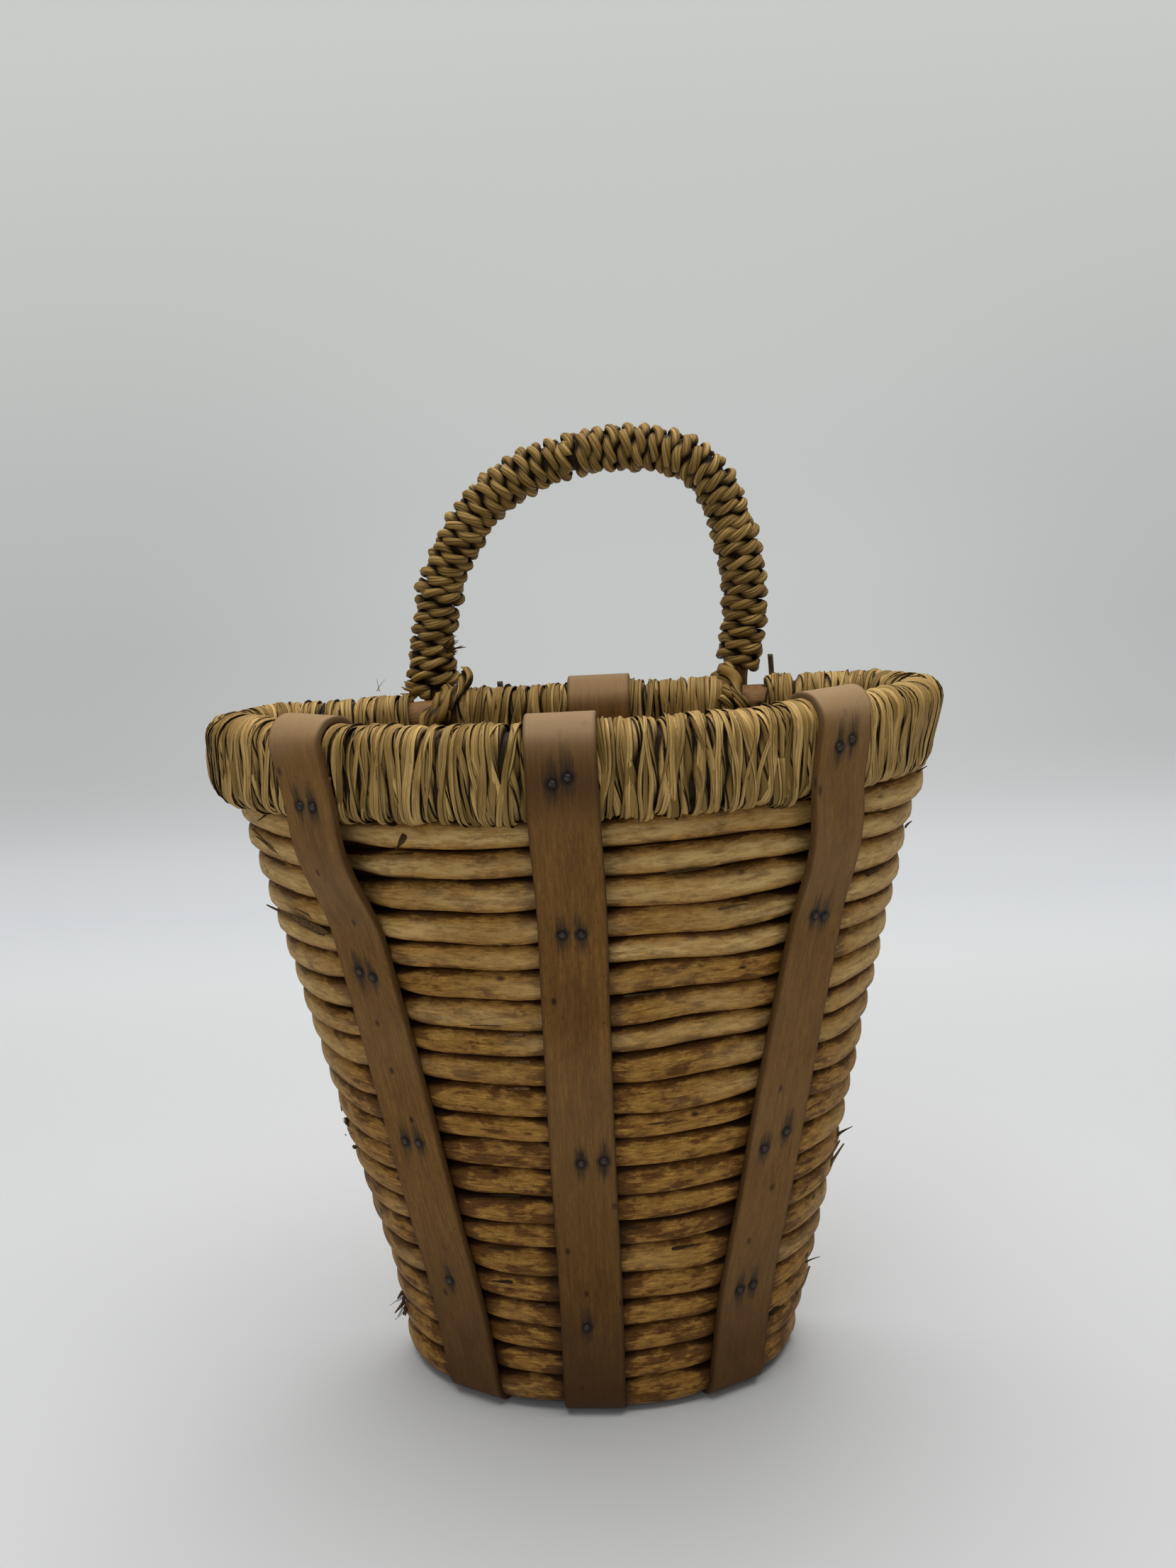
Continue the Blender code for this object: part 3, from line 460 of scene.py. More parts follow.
def wood_material(name, light, dark, stain_colour, scales, fibre_share, stain_reach, grain_share, bump, stain_and_shade_extra=None):
    """Bare wood: streaks and mottling between two colours, blotches of a stain, grain, specks and knots.

    scales holds the fibre, mottle and blotch scales; stain_and_shade_extra is a socket that adds to the stain, on the
    rods the painted shade and grime of the seams.
    """
    material, tree, shader = new_material(name, light, WOOD_ROUGHNESS)
    shader.inputs["Specular IOR Level"].default_value = 0.14
    tone = add_node(tree, "ShaderNodeAttribute", attribute_name="tone").outputs["Fac"]
    figure = add_node(tree, "ShaderNodeGroup", node_tree=wood_figure)
    for label, value in zip(("Fibre", "Mottle", "Blotch"), scales):
        figure.inputs[label].default_value = value
    tree.links.new(tone, figure.inputs["Tone"])
    streak = add_ramp(tree, figure.outputs["Streak"], [(0.34, 0.0), (0.66, 1.0)])
    mottle = add_ramp(tree, figure.outputs["Mottle"], [(0.40, 0.0), (0.60, 1.0)])
    share = mix_colour(tree, fibre_share, mottle, streak)
    colour = mix_colour(tree, share, light, dark)
    stain = figure.outputs["Stain"]
    if stain_and_shade_extra is not None:
        extra = add_node(tree, "ShaderNodeAttribute", attribute_name=stain_and_shade_extra).outputs["Fac"]
        stain = add_node(tree, "ShaderNodeMath", {0: extra, 1: 0.16, 2: stain}, operation="MULTIPLY_ADD").outputs[0]
    stain_part = add_ramp(tree, stain, [(stain_reach[0], 0.0), (stain_reach[1], 0.86)])
    colour = mix_colour(tree, stain_part, colour, stain_colour)
    colour = mix_colour(tree, grain_share, colour, figure.outputs["Grain"], "OVERLAY")
    fleck = add_ramp(tree, figure.outputs["Speck"], [(0.30, 0.55), (0.38, 0.0)])
    colour = mix_colour(tree, fleck, colour, tuple(min(1.25 * part, 1.0) for part in light))
    speck = add_ramp(tree, figure.outputs["Speck"], [(0.60, 0.0), (0.68, 0.85)])
    colour = mix_colour(tree, speck, colour, tuple(0.4 * part for part in stain_colour))
    colour = mix_colour(tree, figure.outputs["Knot"], colour, tuple(0.25 * part for part in stain_colour))
    relief = add_node(tree, "ShaderNodeBump", {"Strength": bump, "Distance": 0.0006, "Height": figure.outputs["Height"]})
    tree.links.new(relief.outputs[0], shader.inputs["Normal"])
    return material, tree, shader, colour


rod_wood, rod_tree, rod_shader, rod_colour = wood_material(
    "peeled_rod", (0.46, 0.25, 0.056), (0.235, 0.104, 0.018), (0.105, 0.038, 0.006),
    (420.0, 260.0, 135.0), 0.30, (0.502, 0.575), 0.5, 0.8, "seam_shade_and_grime")
# The seam mark darkens each rod at its top and bottom and beside the straps. It is painted shade in the grooves between
# rods plus a painted shadow by each strap, with some grime. A patch noise roughens its edge.
rod_seam_shade_and_grime = add_node(rod_tree, "ShaderNodeAttribute", attribute_name="seam_shade_and_grime").outputs["Fac"]
# The light mark pales the rods: weathered, paler wood high on the wall and at the sides, times a painted highlight on
# the middle band of each rod's section.
rod_weathered_and_lit = add_node(rod_tree, "ShaderNodeAttribute", attribute_name="light").outputs["Fac"]
rod_place = add_node(rod_tree, "ShaderNodeUVMap", uv_map="run").outputs[0]
rod_patch_noise_place = add_node(rod_tree, "ShaderNodeMapping", {"Vector": rod_place, "Scale": (0.3, 1.0, 1.0)})
rod_patch_noise = add_node(rod_tree, "ShaderNodeTexNoise", {"Vector": rod_patch_noise_place.outputs[0], "Scale": 260.0, "Detail": 8.0, "Roughness": 0.72})
rod_rough_edge = add_node(rod_tree, "ShaderNodeMath", {0: rod_patch_noise.outputs["Fac"], 1: 1.1, 2: -0.55}, operation="MULTIPLY_ADD")
rod_flake = add_ramp(rod_tree, rod_patch_noise.outputs["Fac"], [(0.43, 1.0), (0.57, 0.38)])
rod_weathered_and_lit_part = add_node(rod_tree, "ShaderNodeMath", {0: rod_weathered_and_lit, 1: rod_flake}, operation="MULTIPLY").outputs[0]
rod_seam_shade_and_grime_sum = add_node(rod_tree, "ShaderNodeMath", {0: rod_seam_shade_and_grime, 1: rod_rough_edge.outputs[0]}, operation="ADD").outputs[0]
rod_colour = mix_colour(rod_tree, rod_weathered_and_lit_part, rod_colour, (0.70, 0.475, 0.185))
rod_colour = mix_colour(rod_tree, add_ramp(rod_tree, rod_seam_shade_and_grime_sum, [(0.34, 0.0), (0.66, 0.36), (0.90, 1.0)]), rod_colour, (0.038, 0.013, 0.002))
rod_tree.links.new(rod_colour, rod_shader.inputs["Base Color"])


def rod_section(sides, squareness):
    """Unit section: radius r(a) = (|cos a|^n + |sin a|^n)^(-1/n), a circle pressed slightly square."""
    angle = np.arange(sides) / sides * 2 * math.pi
    radius = (np.abs(np.cos(angle)) ** squareness + np.abs(np.sin(angle)) ** squareness) ** (-1.0 / squareness)
    return angle, radius


ROD_WAVES = random.uniform(0.0, 2 * math.pi, (5, 2))


def rod_wander(distance, height):
    """How far the stack waves up and down at a place: five sines that change slowly with height."""
    lengths = np.array([0.31, 0.19, 0.12, 0.074, 0.045])
    climb = np.array([9.0, -14.0, 22.0, 31.0, -47.0])
    weight = np.array([0.6, 0.5, 0.5, 0.4, 0.25])
    phase = distance[:, None] / lengths * 2 * math.pi + ROD_WAVES[:, 0] + climb * height
    return ROD_WANDER * (np.sin(phase) * weight).sum(axis=1)


def foot_tuck(height, aside):
    """How far the wall is drawn in at its right foot, for an outward direction's x."""
    return FOOT_TUCK * np.clip((0.045 - height) / 0.035, 0.0, 1.0) * np.clip((aside - 0.55) / 0.35, 0.0, 1.0)


def build_rod(number, floor, pitch):
    """A bent rod: its pressed-round section carried round the plan, thinner where a strap pins it."""
    height = floor + pitch / 2
    radius = pitch / 2 * ROD_FILL
    half_width, front_depth = wall_sizes(height)
    points, outward, places, total = plan_path(
        half_width, front_depth, BACK_FACE_Y, WALL_CORNER_RADIUS, radius, height, ROD_STEPS)
    run = np.linspace(0.0, total, ROD_STEPS)
    pinch = np.ones(ROD_STEPS)
    for strap, share in PINCH_SHARES.items():
        depth = share * random.uniform(0.6, 1.25)
        pinch -= depth * np.exp(-np.abs((run - places[strap]) / (PINCH_REACH * random.uniform(0.8, 1.15))) ** 3)
    size = radius * pinch * (1.0 + 0.022 * drift(ROD_STEPS, 14) + 0.008 * drift(ROD_STEPS, 4))
    lift = rod_wander(run, height) + 0.00018 * drift(ROD_STEPS, 16)
    push = 0.00022 * drift(ROD_STEPS, 14) + (radius - size) * 0.75 - 0.0001
    flank = np.clip((np.abs(outward[:, 0]) - 0.55) / 0.35, 0.0, 1.0)
    push = push - foot_tuck(height, outward[:, 0])
    if number == len(ROD_SHARES):
        push = push + TOP_ROD_BULGE * smooth(flank * (points[:, 0] > 0), 8)
    angle, unit = rod_section(ROD_SIDES, ROD_SQUARENESS)
    across = np.cos(angle) * unit
    up = np.sin(angle) * unit
    centre = np.concatenate([points + outward * push[:, None], np.full((ROD_STEPS, 1), height)], axis=1)
    centre[:, 1] += PLAN_SHIFT
    centre[:, 2] += lift
    side = np.concatenate([outward, np.zeros((ROD_STEPS, 1))], axis=1)
    rise = np.array([0.0, 0.0, 1.0])
    grid = centre[:, None] + side[:, None] * (size[:, None] * across)[..., None] + rise * (size[:, None] * up)[..., None]
    # Painted shade and grime in the seams: darker towards the top and bottom of each rod's section, more so low on the
    # wall and less at the sides.
    seam_top = np.clip((up - 0.56) / 0.50, 0.0, 1.0)
    seam_low = np.clip((-up - 0.82) / 0.12, 0.0, 1.0)
    seam_height_shift = 0.13 - 0.33 * min(max((height - 0.05) / 0.23, 0.0), 1.0)
    seam_shade_and_grime = (seam_top + seam_low)[None, :] + (0.11 * drift(ROD_STEPS, 10) + seam_height_shift - 0.10 * flank)[:, None]
    # A painted shadow beside each strap, where the rods are pinched under it.
    for place in places.values():
        beside = np.abs(run - place) - STRAP_WIDTH / 2
        seam_shade_and_grime = seam_shade_and_grime + 0.55 * np.exp(-(np.maximum(beside, 0.0) / 0.0055) ** 2)[:, None]
    weathered = 0.02 + 0.98 * np.clip((height - 0.17) / 0.10, -0.3, 1.0) + 0.50 * flank
    # Painted highlight on a band a little below the middle of each rod's section, times the paler weathering.
    weathered_and_lit = np.clip((0.75 - np.abs(up + 0.08)) / 0.5, 0.0, 1.0)[None, :] * np.clip(weathered + 0.26 * drift(ROD_STEPS, 12), 0.0, 1.0)[:, None]
    tone = np.full(ROD_STEPS, number * 0.37 + 0.11)
    name = f"peeled_rod_{number:02d}"
    corner_map = tube_map(run + number, np.append(angle, 2 * math.pi) * radius)
    add_surface(name, grid, rod_wood, corner_map, {"seam_shade_and_grime": seam_shade_and_grime, "light": weathered_and_lit, "tone": tone}, "peeled_rod", [f"rod_{number:02d}"])


rod_floor = RODS_FLOOR
mean_pitch = (RODS_TOP - RODS_FLOOR) / ROD_SHARES.sum()
for rod_number, rod_share in enumerate(ROD_SHARES, start=1):
    build_rod(rod_number, rod_floor, mean_pitch * rod_share)
    rod_floor += mean_pitch * rod_share

# The rim's two hoops: peeled rods one above the other. They show, bare and pinkish, only at the
# handle's feet, where the rush stops.
RIM = {"half_width": 0.1603, "front_depth": 0.107}
RIM_HEIGHT = 0.326
WRAP_HEIGHT = 0.038
WRAP_WIDTH = 0.020
RIM_BACK_Y = 0.013
RIM_CORNER_RADIUS = 0.040
HOOP_RADIUS = 0.00735
HOOP_HEIGHTS = {"rim_hoop_lower": 0.29935, "rim_hoop_upper": 0.31465}
HOOP_STEPS = 420
RIM_PULLS = {"left": 0.0, "centre": 0.0, "right": 0.0035}
PULL_REACH = 0.026
HOOP_SIDES = 16
RIM_SAG = 0.003
RIM_TUCK = 0.0050
RIM_DROOP = 0.0042

hoop_wood, hoop_tree, hoop_shader, hoop_colour = wood_material(
    "peeled_hoop", (0.30, 0.165, 0.065), (0.20, 0.10, 0.035), (0.10, 0.042, 0.012),
    (420.0, 150.0, 60.0), 0.5, (0.52, 0.7), 0.4, 0.4)
hoop_tree.links.new(hoop_colour, hoop_shader.inputs["Base Color"])


def ease(value, start, length):
    """A smooth step from 0 at the start to 1 a length further on: s s (3 - 2 s)."""
    share = np.clip((value - start) / length, 0.0, 1.0)
    return share * share * (3 - 2 * share)


def settle(points):
    """The rim as it has settled: its left end hangs, and its right end leans in towards its foot."""
    x, y, z = points[..., 0], points[..., 1] - PLAN_SHIFT, points[..., 2]
    sag = RIM_SAG * ease(-x, 0.04, 0.08) * ease(y, -0.03, 0.035)
    sag = sag + RIM_DROOP * ease(-x, 0.136, 0.022) * ease(z - RIM_HEIGHT, -0.022, 0.022)
    tuck = RIM_TUCK * ease(x, 0.118, 0.034) * ease(RIM_HEIGHT - z, 0.004, 0.030)
    return np.stack([x - tuck, points[..., 1], z - sag], axis=-1)


def lift_to_frame(points, height):
    """Plan points at a height, in the frame's axes."""
    return np.stack([points[:, 0], points[:, 1] + PLAN_SHIFT, np.full(len(points), height)], axis=1)


def rim_path(inset, count):
    """The rim's plan path, drawn in where a tight strap pulls on it: pull exp(-((s - place) / reach)^2)."""
    points, outward, places, total = plan_path(
        RIM["half_width"], RIM["front_depth"], RIM_BACK_Y, RIM_CORNER_RADIUS, inset, RIM_HEIGHT, count)
    run = np.linspace(0.0, total, count)
    for strap, pull in RIM_PULLS.items():
        points = points - outward * (pull * np.exp(-((run - places[strap]) / PULL_REACH) ** 2))[:, None]
    tangent = np.gradient(points, axis=0)
    tangent /= np.linalg.norm(tangent, axis=1)[:, None]
    return points, np.stack([tangent[:, 1], -tangent[:, 0]], axis=1), places, total


def build_hoop(name, height):
    """A hoop: a round section carried round the middle line of the wrap."""
    points, outward, places, total = rim_path(WRAP_WIDTH / 2, HOOP_STEPS)
    run = np.linspace(0.0, total, HOOP_STEPS)
    angle = np.arange(HOOP_SIDES) / HOOP_SIDES * 2 * math.pi
    size = (HOOP_RADIUS * (1.0 + 0.012 * drift(HOOP_STEPS, 12)))[:, None, None]
    side = np.concatenate([outward, np.zeros((HOOP_STEPS, 1))], axis=1)[:, None]
    rise = np.array([0.0, 0.0, 1.0])
    grid = lift_to_frame(points, height)[:, None] + size * (side * np.cos(angle)[:, None] + rise * np.sin(angle)[:, None])
    corner_map = tube_map(run, np.append(angle, 2 * math.pi) * HOOP_RADIUS)
    add_surface(name + "_bare", settle(grid), hoop_wood, corner_map, {"tone": np.full(HOOP_STEPS, height * 10)}, "peeled_hoop", [name])


for hoop_name, hoop_height in HOOP_HEIGHTS.items():
    build_hoop(hoop_name, hoop_height)

# The rush: a loosely twisted two-ply cord of dried leaves, wound turn against turn round both hoops.
# One run covers the front from foot to foot of the handle, a short one the back between them.
RUSH_PITCH = 0.0066
RUSH_DEPTH = 0.0023
RUSH_CORNER = 0.0090
RUSH_TWIST = 0.043
RUSH_STEP = 0.0023
RUSH_LEAVES = 3
RUSH_REACH = (0.0008, 0.00135)
RUSH_SIZE = (0.0017, 0.0021)
RUSH_OVERHANG = 0.0015
FOOT_X = {"left": -0.065, "right": 0.075}
FOOT_GAP = 0.024


def rounded_outline(width, height, corner, count):
    """Evenly spaced points and outward normals round an upright rounded rectangle, from its outer middle up."""
    turn = np.linspace(0.0, math.pi / 2, 12)
    centre = np.array([width / 2 - corner, height / 2 - corner])
    normal = np.stack([np.cos(turn), np.sin(turn)], axis=1)
    quarter = centre + corner * normal
    signs = [np.array([1, 1]), np.array([-1, 1]), np.array([-1, -1]), np.array([1, -1])]
    line = [quarter[:: 1 if k % 2 == 0 else -1] * sign for k, sign in enumerate(signs)]
    out = [normal[:: 1 if k % 2 == 0 else -1] * sign for k, sign in enumerate(signs)]
    start = np.array([[width / 2, 0.0]])
    line = np.vstack([start, *line, start])
    out = np.vstack([[[1.0, 0.0]], *out, [[1.0, 0.0]]])
    lengths = lengths_along(line)
    places = np.linspace(0.0, lengths[-1], count)
    points = np.stack([np.interp(places, lengths, column) for column in line.T], axis=1)
    normals = np.stack([np.interp(places, lengths, column) for column in out.T], axis=1)
    return points, normals / np.linalg.norm(normals, axis=1)[:, None], lengths[-1]


def unit(vectors):
    """Each row's direction."""
    return vectors / np.linalg.norm(vectors, axis=1)[:, None]


def ply_grid(centre, normal, twist, reach, size, angle, radius):
    """One ply of a twisted cord round its middle line.

    With phase p, the ply's middle stands reach[0] cos p outward and reach[1] sin p sideways. Its section
    points lie at the given angles, at the given radii times size (outward, sideways). Also returns how
    far out each point stands.
    """
    tangent = unit(np.gradient(centre, axis=0))
    sideways = np.cross(tangent, normal)
    out = reach[0] * np.cos(twist)[:, None] + size[0][:, None] * radius * np.cos(angle)
    side = reach[1] * np.sin(twist)[:, None] + size[1][:, None] * radius * np.sin(angle)
    return centre[:, None] + out[..., None] * normal[:, None] + side[..., None] * sideways[:, None], out


rush, rush_tree, rush_shader = new_material("twisted_rush", (0.36, 0.26, 0.115), 0.6)
rush_shader.inputs["Specular IOR Level"].default_value = 0.2


def finish_leaf_material(tree, shader, light, dark, green, shade_and_dark_colour, stripe, bump):
    """Dried leaf: fine lengthwise veins, slow changes of tone along each leaf and painted shade in the creases."""
    place = add_node(tree, "ShaderNodeUVMap", uv_map="run").outputs[0]
    veins_place = add_node(tree, "ShaderNodeMapping", {"Vector": place, "Scale": (0.05, 1.0, 1.0)})
    veins = add_node(tree, "ShaderNodeTexNoise", {"Vector": veins_place.outputs[0], "Scale": stripe, "Detail": 4.0, "Roughness": 0.65})
    slow_place = add_node(tree, "ShaderNodeMapping", {"Vector": place, "Scale": (0.35, 1.0, 1.0)})
    slow = add_node(tree, "ShaderNodeTexNoise", {"Vector": slow_place.outputs[0], "Scale": 90.0, "Detail": 4.0, "Roughness": 0.6})
    leaf = add_node(tree, "ShaderNodeAttribute", attribute_name="leaf").outputs["Fac"]
    shade_and_dark = add_node(tree, "ShaderNodeAttribute", attribute_name="shade_and_dark").outputs["Fac"]
    veined = add_ramp(tree, veins.outputs["Fac"], [(0.40, 0.0), (0.60, 1.0)])
    colour = mix_colour(tree, veined, light, dark)
    colour = mix_colour(tree, leaf, colour, green)
    spots = add_ramp(tree, slow.outputs["Fac"], [(0.50, 0.0), (0.72, 0.8)])
    colour = mix_colour(tree, spots, colour, tuple(0.55 * part for part in dark))
    colour = mix_colour(tree, shade_and_dark, colour, shade_and_dark_colour)
    tree.links.new(colour, shader.inputs["Base Color"])
    relief = add_node(tree, "ShaderNodeBump", {"Strength": bump, "Distance": 0.0004, "Height": veins.outputs["Fac"]})
    tree.links.new(relief.outputs[0], shader.inputs["Normal"])


finish_leaf_material(rush_tree, rush_shader, (0.68, 0.455, 0.165), (0.37, 0.215, 0.055), (0.21, 0.125, 0.028), (0.013, 0.005, 0.0009), 900.0, 0.6)

LEAF_ANGLES = np.array([0.0, 0.08, 0.17, 0.5, 0.83, 0.93])
LEAF_RADII = np.array([0.0, 0.92, 1.06, 0.95, 1.09, 0.96])
LEAF_CREASE_SHADES = np.array([1.0, 1.0, 0.0, 0.0, 0.0, 1.0])


def ply_section(run, leaves, depth, spin, twist, slow, source):
    """Angles, radii and painted crease shade of a ply of folded leaves, a row for each place along the run.

    Every leaf is a flat face between two narrow creases of painted shade. The leaves turn by spin times the phase,
    and each one wanders in width and height by itself.
    """
    rows, columns = len(run), len(LEAF_ANGLES)
    sway = np.stack([drift(rows, slow, source) for _ in range(leaves)], axis=1)
    swell = np.stack([drift(rows, slow, source) for _ in range(leaves)], axis=1)
    start = (np.arange(leaves) + np.clip(0.20 * sway, -0.4, 0.4)) / leaves * 2 * math.pi
    after = np.concatenate([start[:, 1:], start[:, :1] + 2 * math.pi], axis=1)
    angle = (start[..., None] + (after - start)[..., None] * LEAF_ANGLES).reshape(rows, -1)
    face = np.where(LEAF_RADII == 0.0, 1.0 - depth, LEAF_RADII)
    radius = (face * (1.0 + 0.09 * swell[..., None])).reshape(rows, leaves * columns)
    crease_shades = np.broadcast_to(np.tile(LEAF_CREASE_SHADES, leaves), radius.shape)
    return angle + spin * twist[:, None], radius, crease_shades


# Painted shade on a ply's flanks: the deeper a point lies towards the cord's middle, the darker it is.
GAP_START = 0.63
GAP_REACH = 0.36


def add_cord(name, centre, normal, twist_length, reach, size, leaves, depth, spin, dark, material, slot, stands_for, seed, painted_top_light=0.0):
    """A two-ply cord along a middle line with an outward direction, one piece a ply.

    dark scales the painted shade in the creases between its leaves; its flanks get painted shade towards the gap beside
    the next turn.
    painted_top_light takes the leaves' tone towards straw: painted light on the top of the rim.
    """
    source = np.random.default_rng(seed)
    run = lengths_along(centre)
    step = run[-1] / (len(run) - 1)
    slow = max(int(0.02 / step), 2)
    phase = -2 * math.pi * run / twist_length + 0.5 * drift(len(run), 2 * slow, source)
    for ply in range(2):
        thick = 1.0 + 0.06 * drift(len(run), slow, source)
        twist = phase + ply * math.pi + 0.15 * drift(len(run), slow, source)
        angle, radius, crease_shades = ply_section(run, leaves, depth, spin, twist, slow, source)
        grid, out = ply_grid(centre, normal, twist, reach, (size[0] * thick, size[1] * thick), angle, radius)
        sunk_shade = np.clip((GAP_START - out / (reach[0] + size[0])) / GAP_REACH, 0.0, 1.0)
        tones = np.stack([drift(len(run), 3 * slow, source) for _ in range(leaves)], axis=1)
        tones = np.clip(0.56 + 0.55 * tones - np.reshape(painted_top_light, (-1, 1)), 0.0, 1.0)
        leaf = np.repeat(tones, len(LEAF_ANGLES), axis=1)
        around = np.append(angle[0] - angle[0, 0], 2 * math.pi) * (size[0] + size[1]) / 2
        add_surface(f"{name}_ply_{'ab'[ply]}", grid, material, tube_map(run + ply * 3.1, around),
                    {"shade_and_dark": np.maximum(crease_shades * dark, 0.93 * sunk_shade), "leaf": leaf}, slot, stands_for)


def rush_line(start, end, seed):
    """The middle line of the rush wound round the hoops between two distances along the rim.

    The turns are evenly spaced on the wrap's outer face, so they crowd together inside the corners.
    """
    points, outward, places, total = rim_path(WRAP_WIDTH / 2, 1400)
    face = lengths_along(points + outward * WRAP_WIDTH / 2)
    start, end = np.interp((start, end), np.linspace(0.0, total, len(points)), face)
    outline, out, perimeter = rounded_outline(
        WRAP_WIDTH - 2 * RUSH_DEPTH, WRAP_HEIGHT - 2 * RUSH_DEPTH, RUSH_CORNER - RUSH_DEPTH, 240)
    turns = round((end - start) / RUSH_PITCH)
    count = int(turns * perimeter / RUSH_STEP)
    share = np.linspace(0.0, 1.0, count)
    source = np.random.default_rng(seed)
    distance = start + (end - start) * share + 0.00045 * drift(count, 9, source)
    around = share * turns * perimeter % perimeter
    table = np.linspace(0.0, perimeter, len(outline))
    across, up, out_across, out_up = (np.interp(around, table, column) for column in (*outline.T, *out.T))
    x, y, side_x, side_y = (np.interp(distance, face, column) for column in (*points.T, *outward.T))
    middle = RIM_HEIGHT - WRAP_HEIGHT / 2
    under = np.clip((-up - 0.011) / 0.004, 0.0, 1.0)
    lift = 0.0002 * drift(count, 12, source) + 0.0010 * np.abs(drift(count, 4, source)) * under
    centre = settle(np.stack([x + side_x * across, y + side_y * across + PLAN_SHIFT, middle + up], axis=1))
    normal = unit(np.stack([side_x * out_across, side_y * out_across, out_up], axis=1))
    return centre + normal * lift[:, None], normal


STRAY_LEAVES = 3
STRAY_HALF_WIDTH = 0.00135
STRAY_HALF_DEPTH = 0.0003
STRAY_HEIGHT = 0.0022
STRAY_WANDER = 0.0019


def add_stray(name, centre, normal, node, seed):
    """A single flat leaf that wanders over the turns of the cord, from one to the next and back."""
    source = np.random.default_rng(seed)
    rows = len(centre)
    tangent = unit(np.gradient(centre, axis=0))
    sideways = np.cross(tangent, normal)
    aside = STRAY_WANDER * drift(rows, 5, source) + 0.001 * drift(rows, 20, source)
    height = STRAY_HEIGHT + 0.00022 * drift(rows, 7, source)
    roll = 0.35 * drift(rows, 8, source)
    wide = STRAY_HALF_WIDTH * (1.0 + 0.25 * drift(rows, 8, source))
    outline = np.array([(-1.0, 0.0), (-0.75, 1.0), (-0.1, 0.8), (0.0, 0.45), (0.1, 0.8), (0.75, 1.0), (1.0, 0.0), (0.0, -1.0)])
    across = outline[:, 0] * wide[:, None]
    up = outline[:, 1] * STRAY_HALF_DEPTH
    side = aside[:, None] + across * np.cos(roll)[:, None] - up * np.sin(roll)[:, None]
    out = height[:, None] + across * np.sin(roll)[:, None] + up * np.cos(roll)[:, None]
    grid = centre[:, None] + side[..., None] * sideways[:, None] + out[..., None] * normal[:, None]
    around = np.append(np.cumsum(np.r_[0.0, np.full(len(outline) - 1, 0.0006)]), 0.0048)
    leaf = np.clip(0.35 + 0.35 * drift(rows, 12, source), 0.0, 1.0)
    # Painted shade along the leaf's edges and on its underside.
    crease_shades = np.array([0.95, 0.1, 0.0, 0.5, 0.0, 0.1, 0.95, 1.0])[None, :]
    add_surface(name, grid, rush, tube_map(lengths_along(centre) + seed, around),
                {"shade_and_dark": crease_shades, "leaf": np.broadcast_to(leaf[:, None], grid.shape[:2])}, "twisted_rush", [node])


def add_shade_bed(name, points, outward, height, outline, material, slot, node):
    """A sleeve of painted shade inside a winding: a plain near-black sleeve of the given section close under its cord.
    """
    side = np.concatenate([outward, np.zeros((len(points), 1))], axis=1)[:, None]
    grid = lift_to_frame(points, height)[:, None] + side * outline[:, :1] + np.array([0.0, 0.0, 1.0]) * outline[:, 1:]
    around = np.linspace(0.0, 0.1, len(outline) + 1)
    marks = {"shade_and_dark": np.full(len(points), 0.97), "leaf": np.full(len(points), 0.5)}
    add_surface(name, settle(grid), material, tube_map(lengths_along(points), around), marks, slot, [node])


rim_points, rim_outward, _, rim_run = rim_path(WRAP_WIDTH / 2, 800)
foot_reach = FOOT_GAP / 2 - RUSH_OVERHANG
front_start = BACK_STRAP_X - (FOOT_X["left"] - foot_reach)
front_end = rim_run - (FOOT_X["right"] + foot_reach - BACK_STRAP_X)
front_third = (front_end - front_start) / 3
RUSH_RUNS = (
    ("rush_front_left", front_start, front_start + front_third, "rim_wrap_front", 1),
    ("rush_front_middle", front_start + front_third, front_end - front_third, "rim_wrap_front", 2),
    ("rush_front_right", front_end - front_third, front_end, "rim_wrap_front", 3),
    ("rush_back_left", 0.0, BACK_STRAP_X - (FOOT_X["left"] + foot_reach), "rim_wrap_back", 4),
    ("rush_back_right", rim_run - (FOOT_X["right"] - foot_reach - BACK_STRAP_X), rim_run, "rim_wrap_back", 5),
)
BED_OUTLINE = rounded_outline(0.0156, 0.0312, 0.0060, 29)[0][:-1]
rim_along = np.linspace(0.0, rim_run, 800)
for rush_name, rush_start, rush_end, rush_node, rush_seed in RUSH_RUNS:
    rush_centre, rush_normal = rush_line(rush_start, rush_end, rush_seed)
    # The leaves on top of the rim are painted paler, as painted light from above.
    add_cord(rush_name, rush_centre, rush_normal, RUSH_TWIST, RUSH_REACH, RUSH_SIZE, RUSH_LEAVES, 0.45, 0.6, 1.0,
             rush, "twisted_rush", [rush_node], rush_seed, 0.50 * ease(rush_centre[:, 2], RIM_HEIGHT - 0.008, 0.006))
    for stray in range(STRAY_LEAVES):
        add_stray(f"{rush_name}_leaf_{stray + 1}", rush_centre, rush_normal, rush_node, 60 + 7 * rush_seed + stray)
    bed_part = (rim_along >= rush_start + 0.002) & (rim_along <= rush_end - 0.002)
    add_shade_bed(rush_name + "_bed", rim_points[bed_part], rim_outward[bed_part], RIM_HEIGHT - WRAP_HEIGHT / 2, BED_OUTLINE,
            rush, "twisted_rush", rush_node)

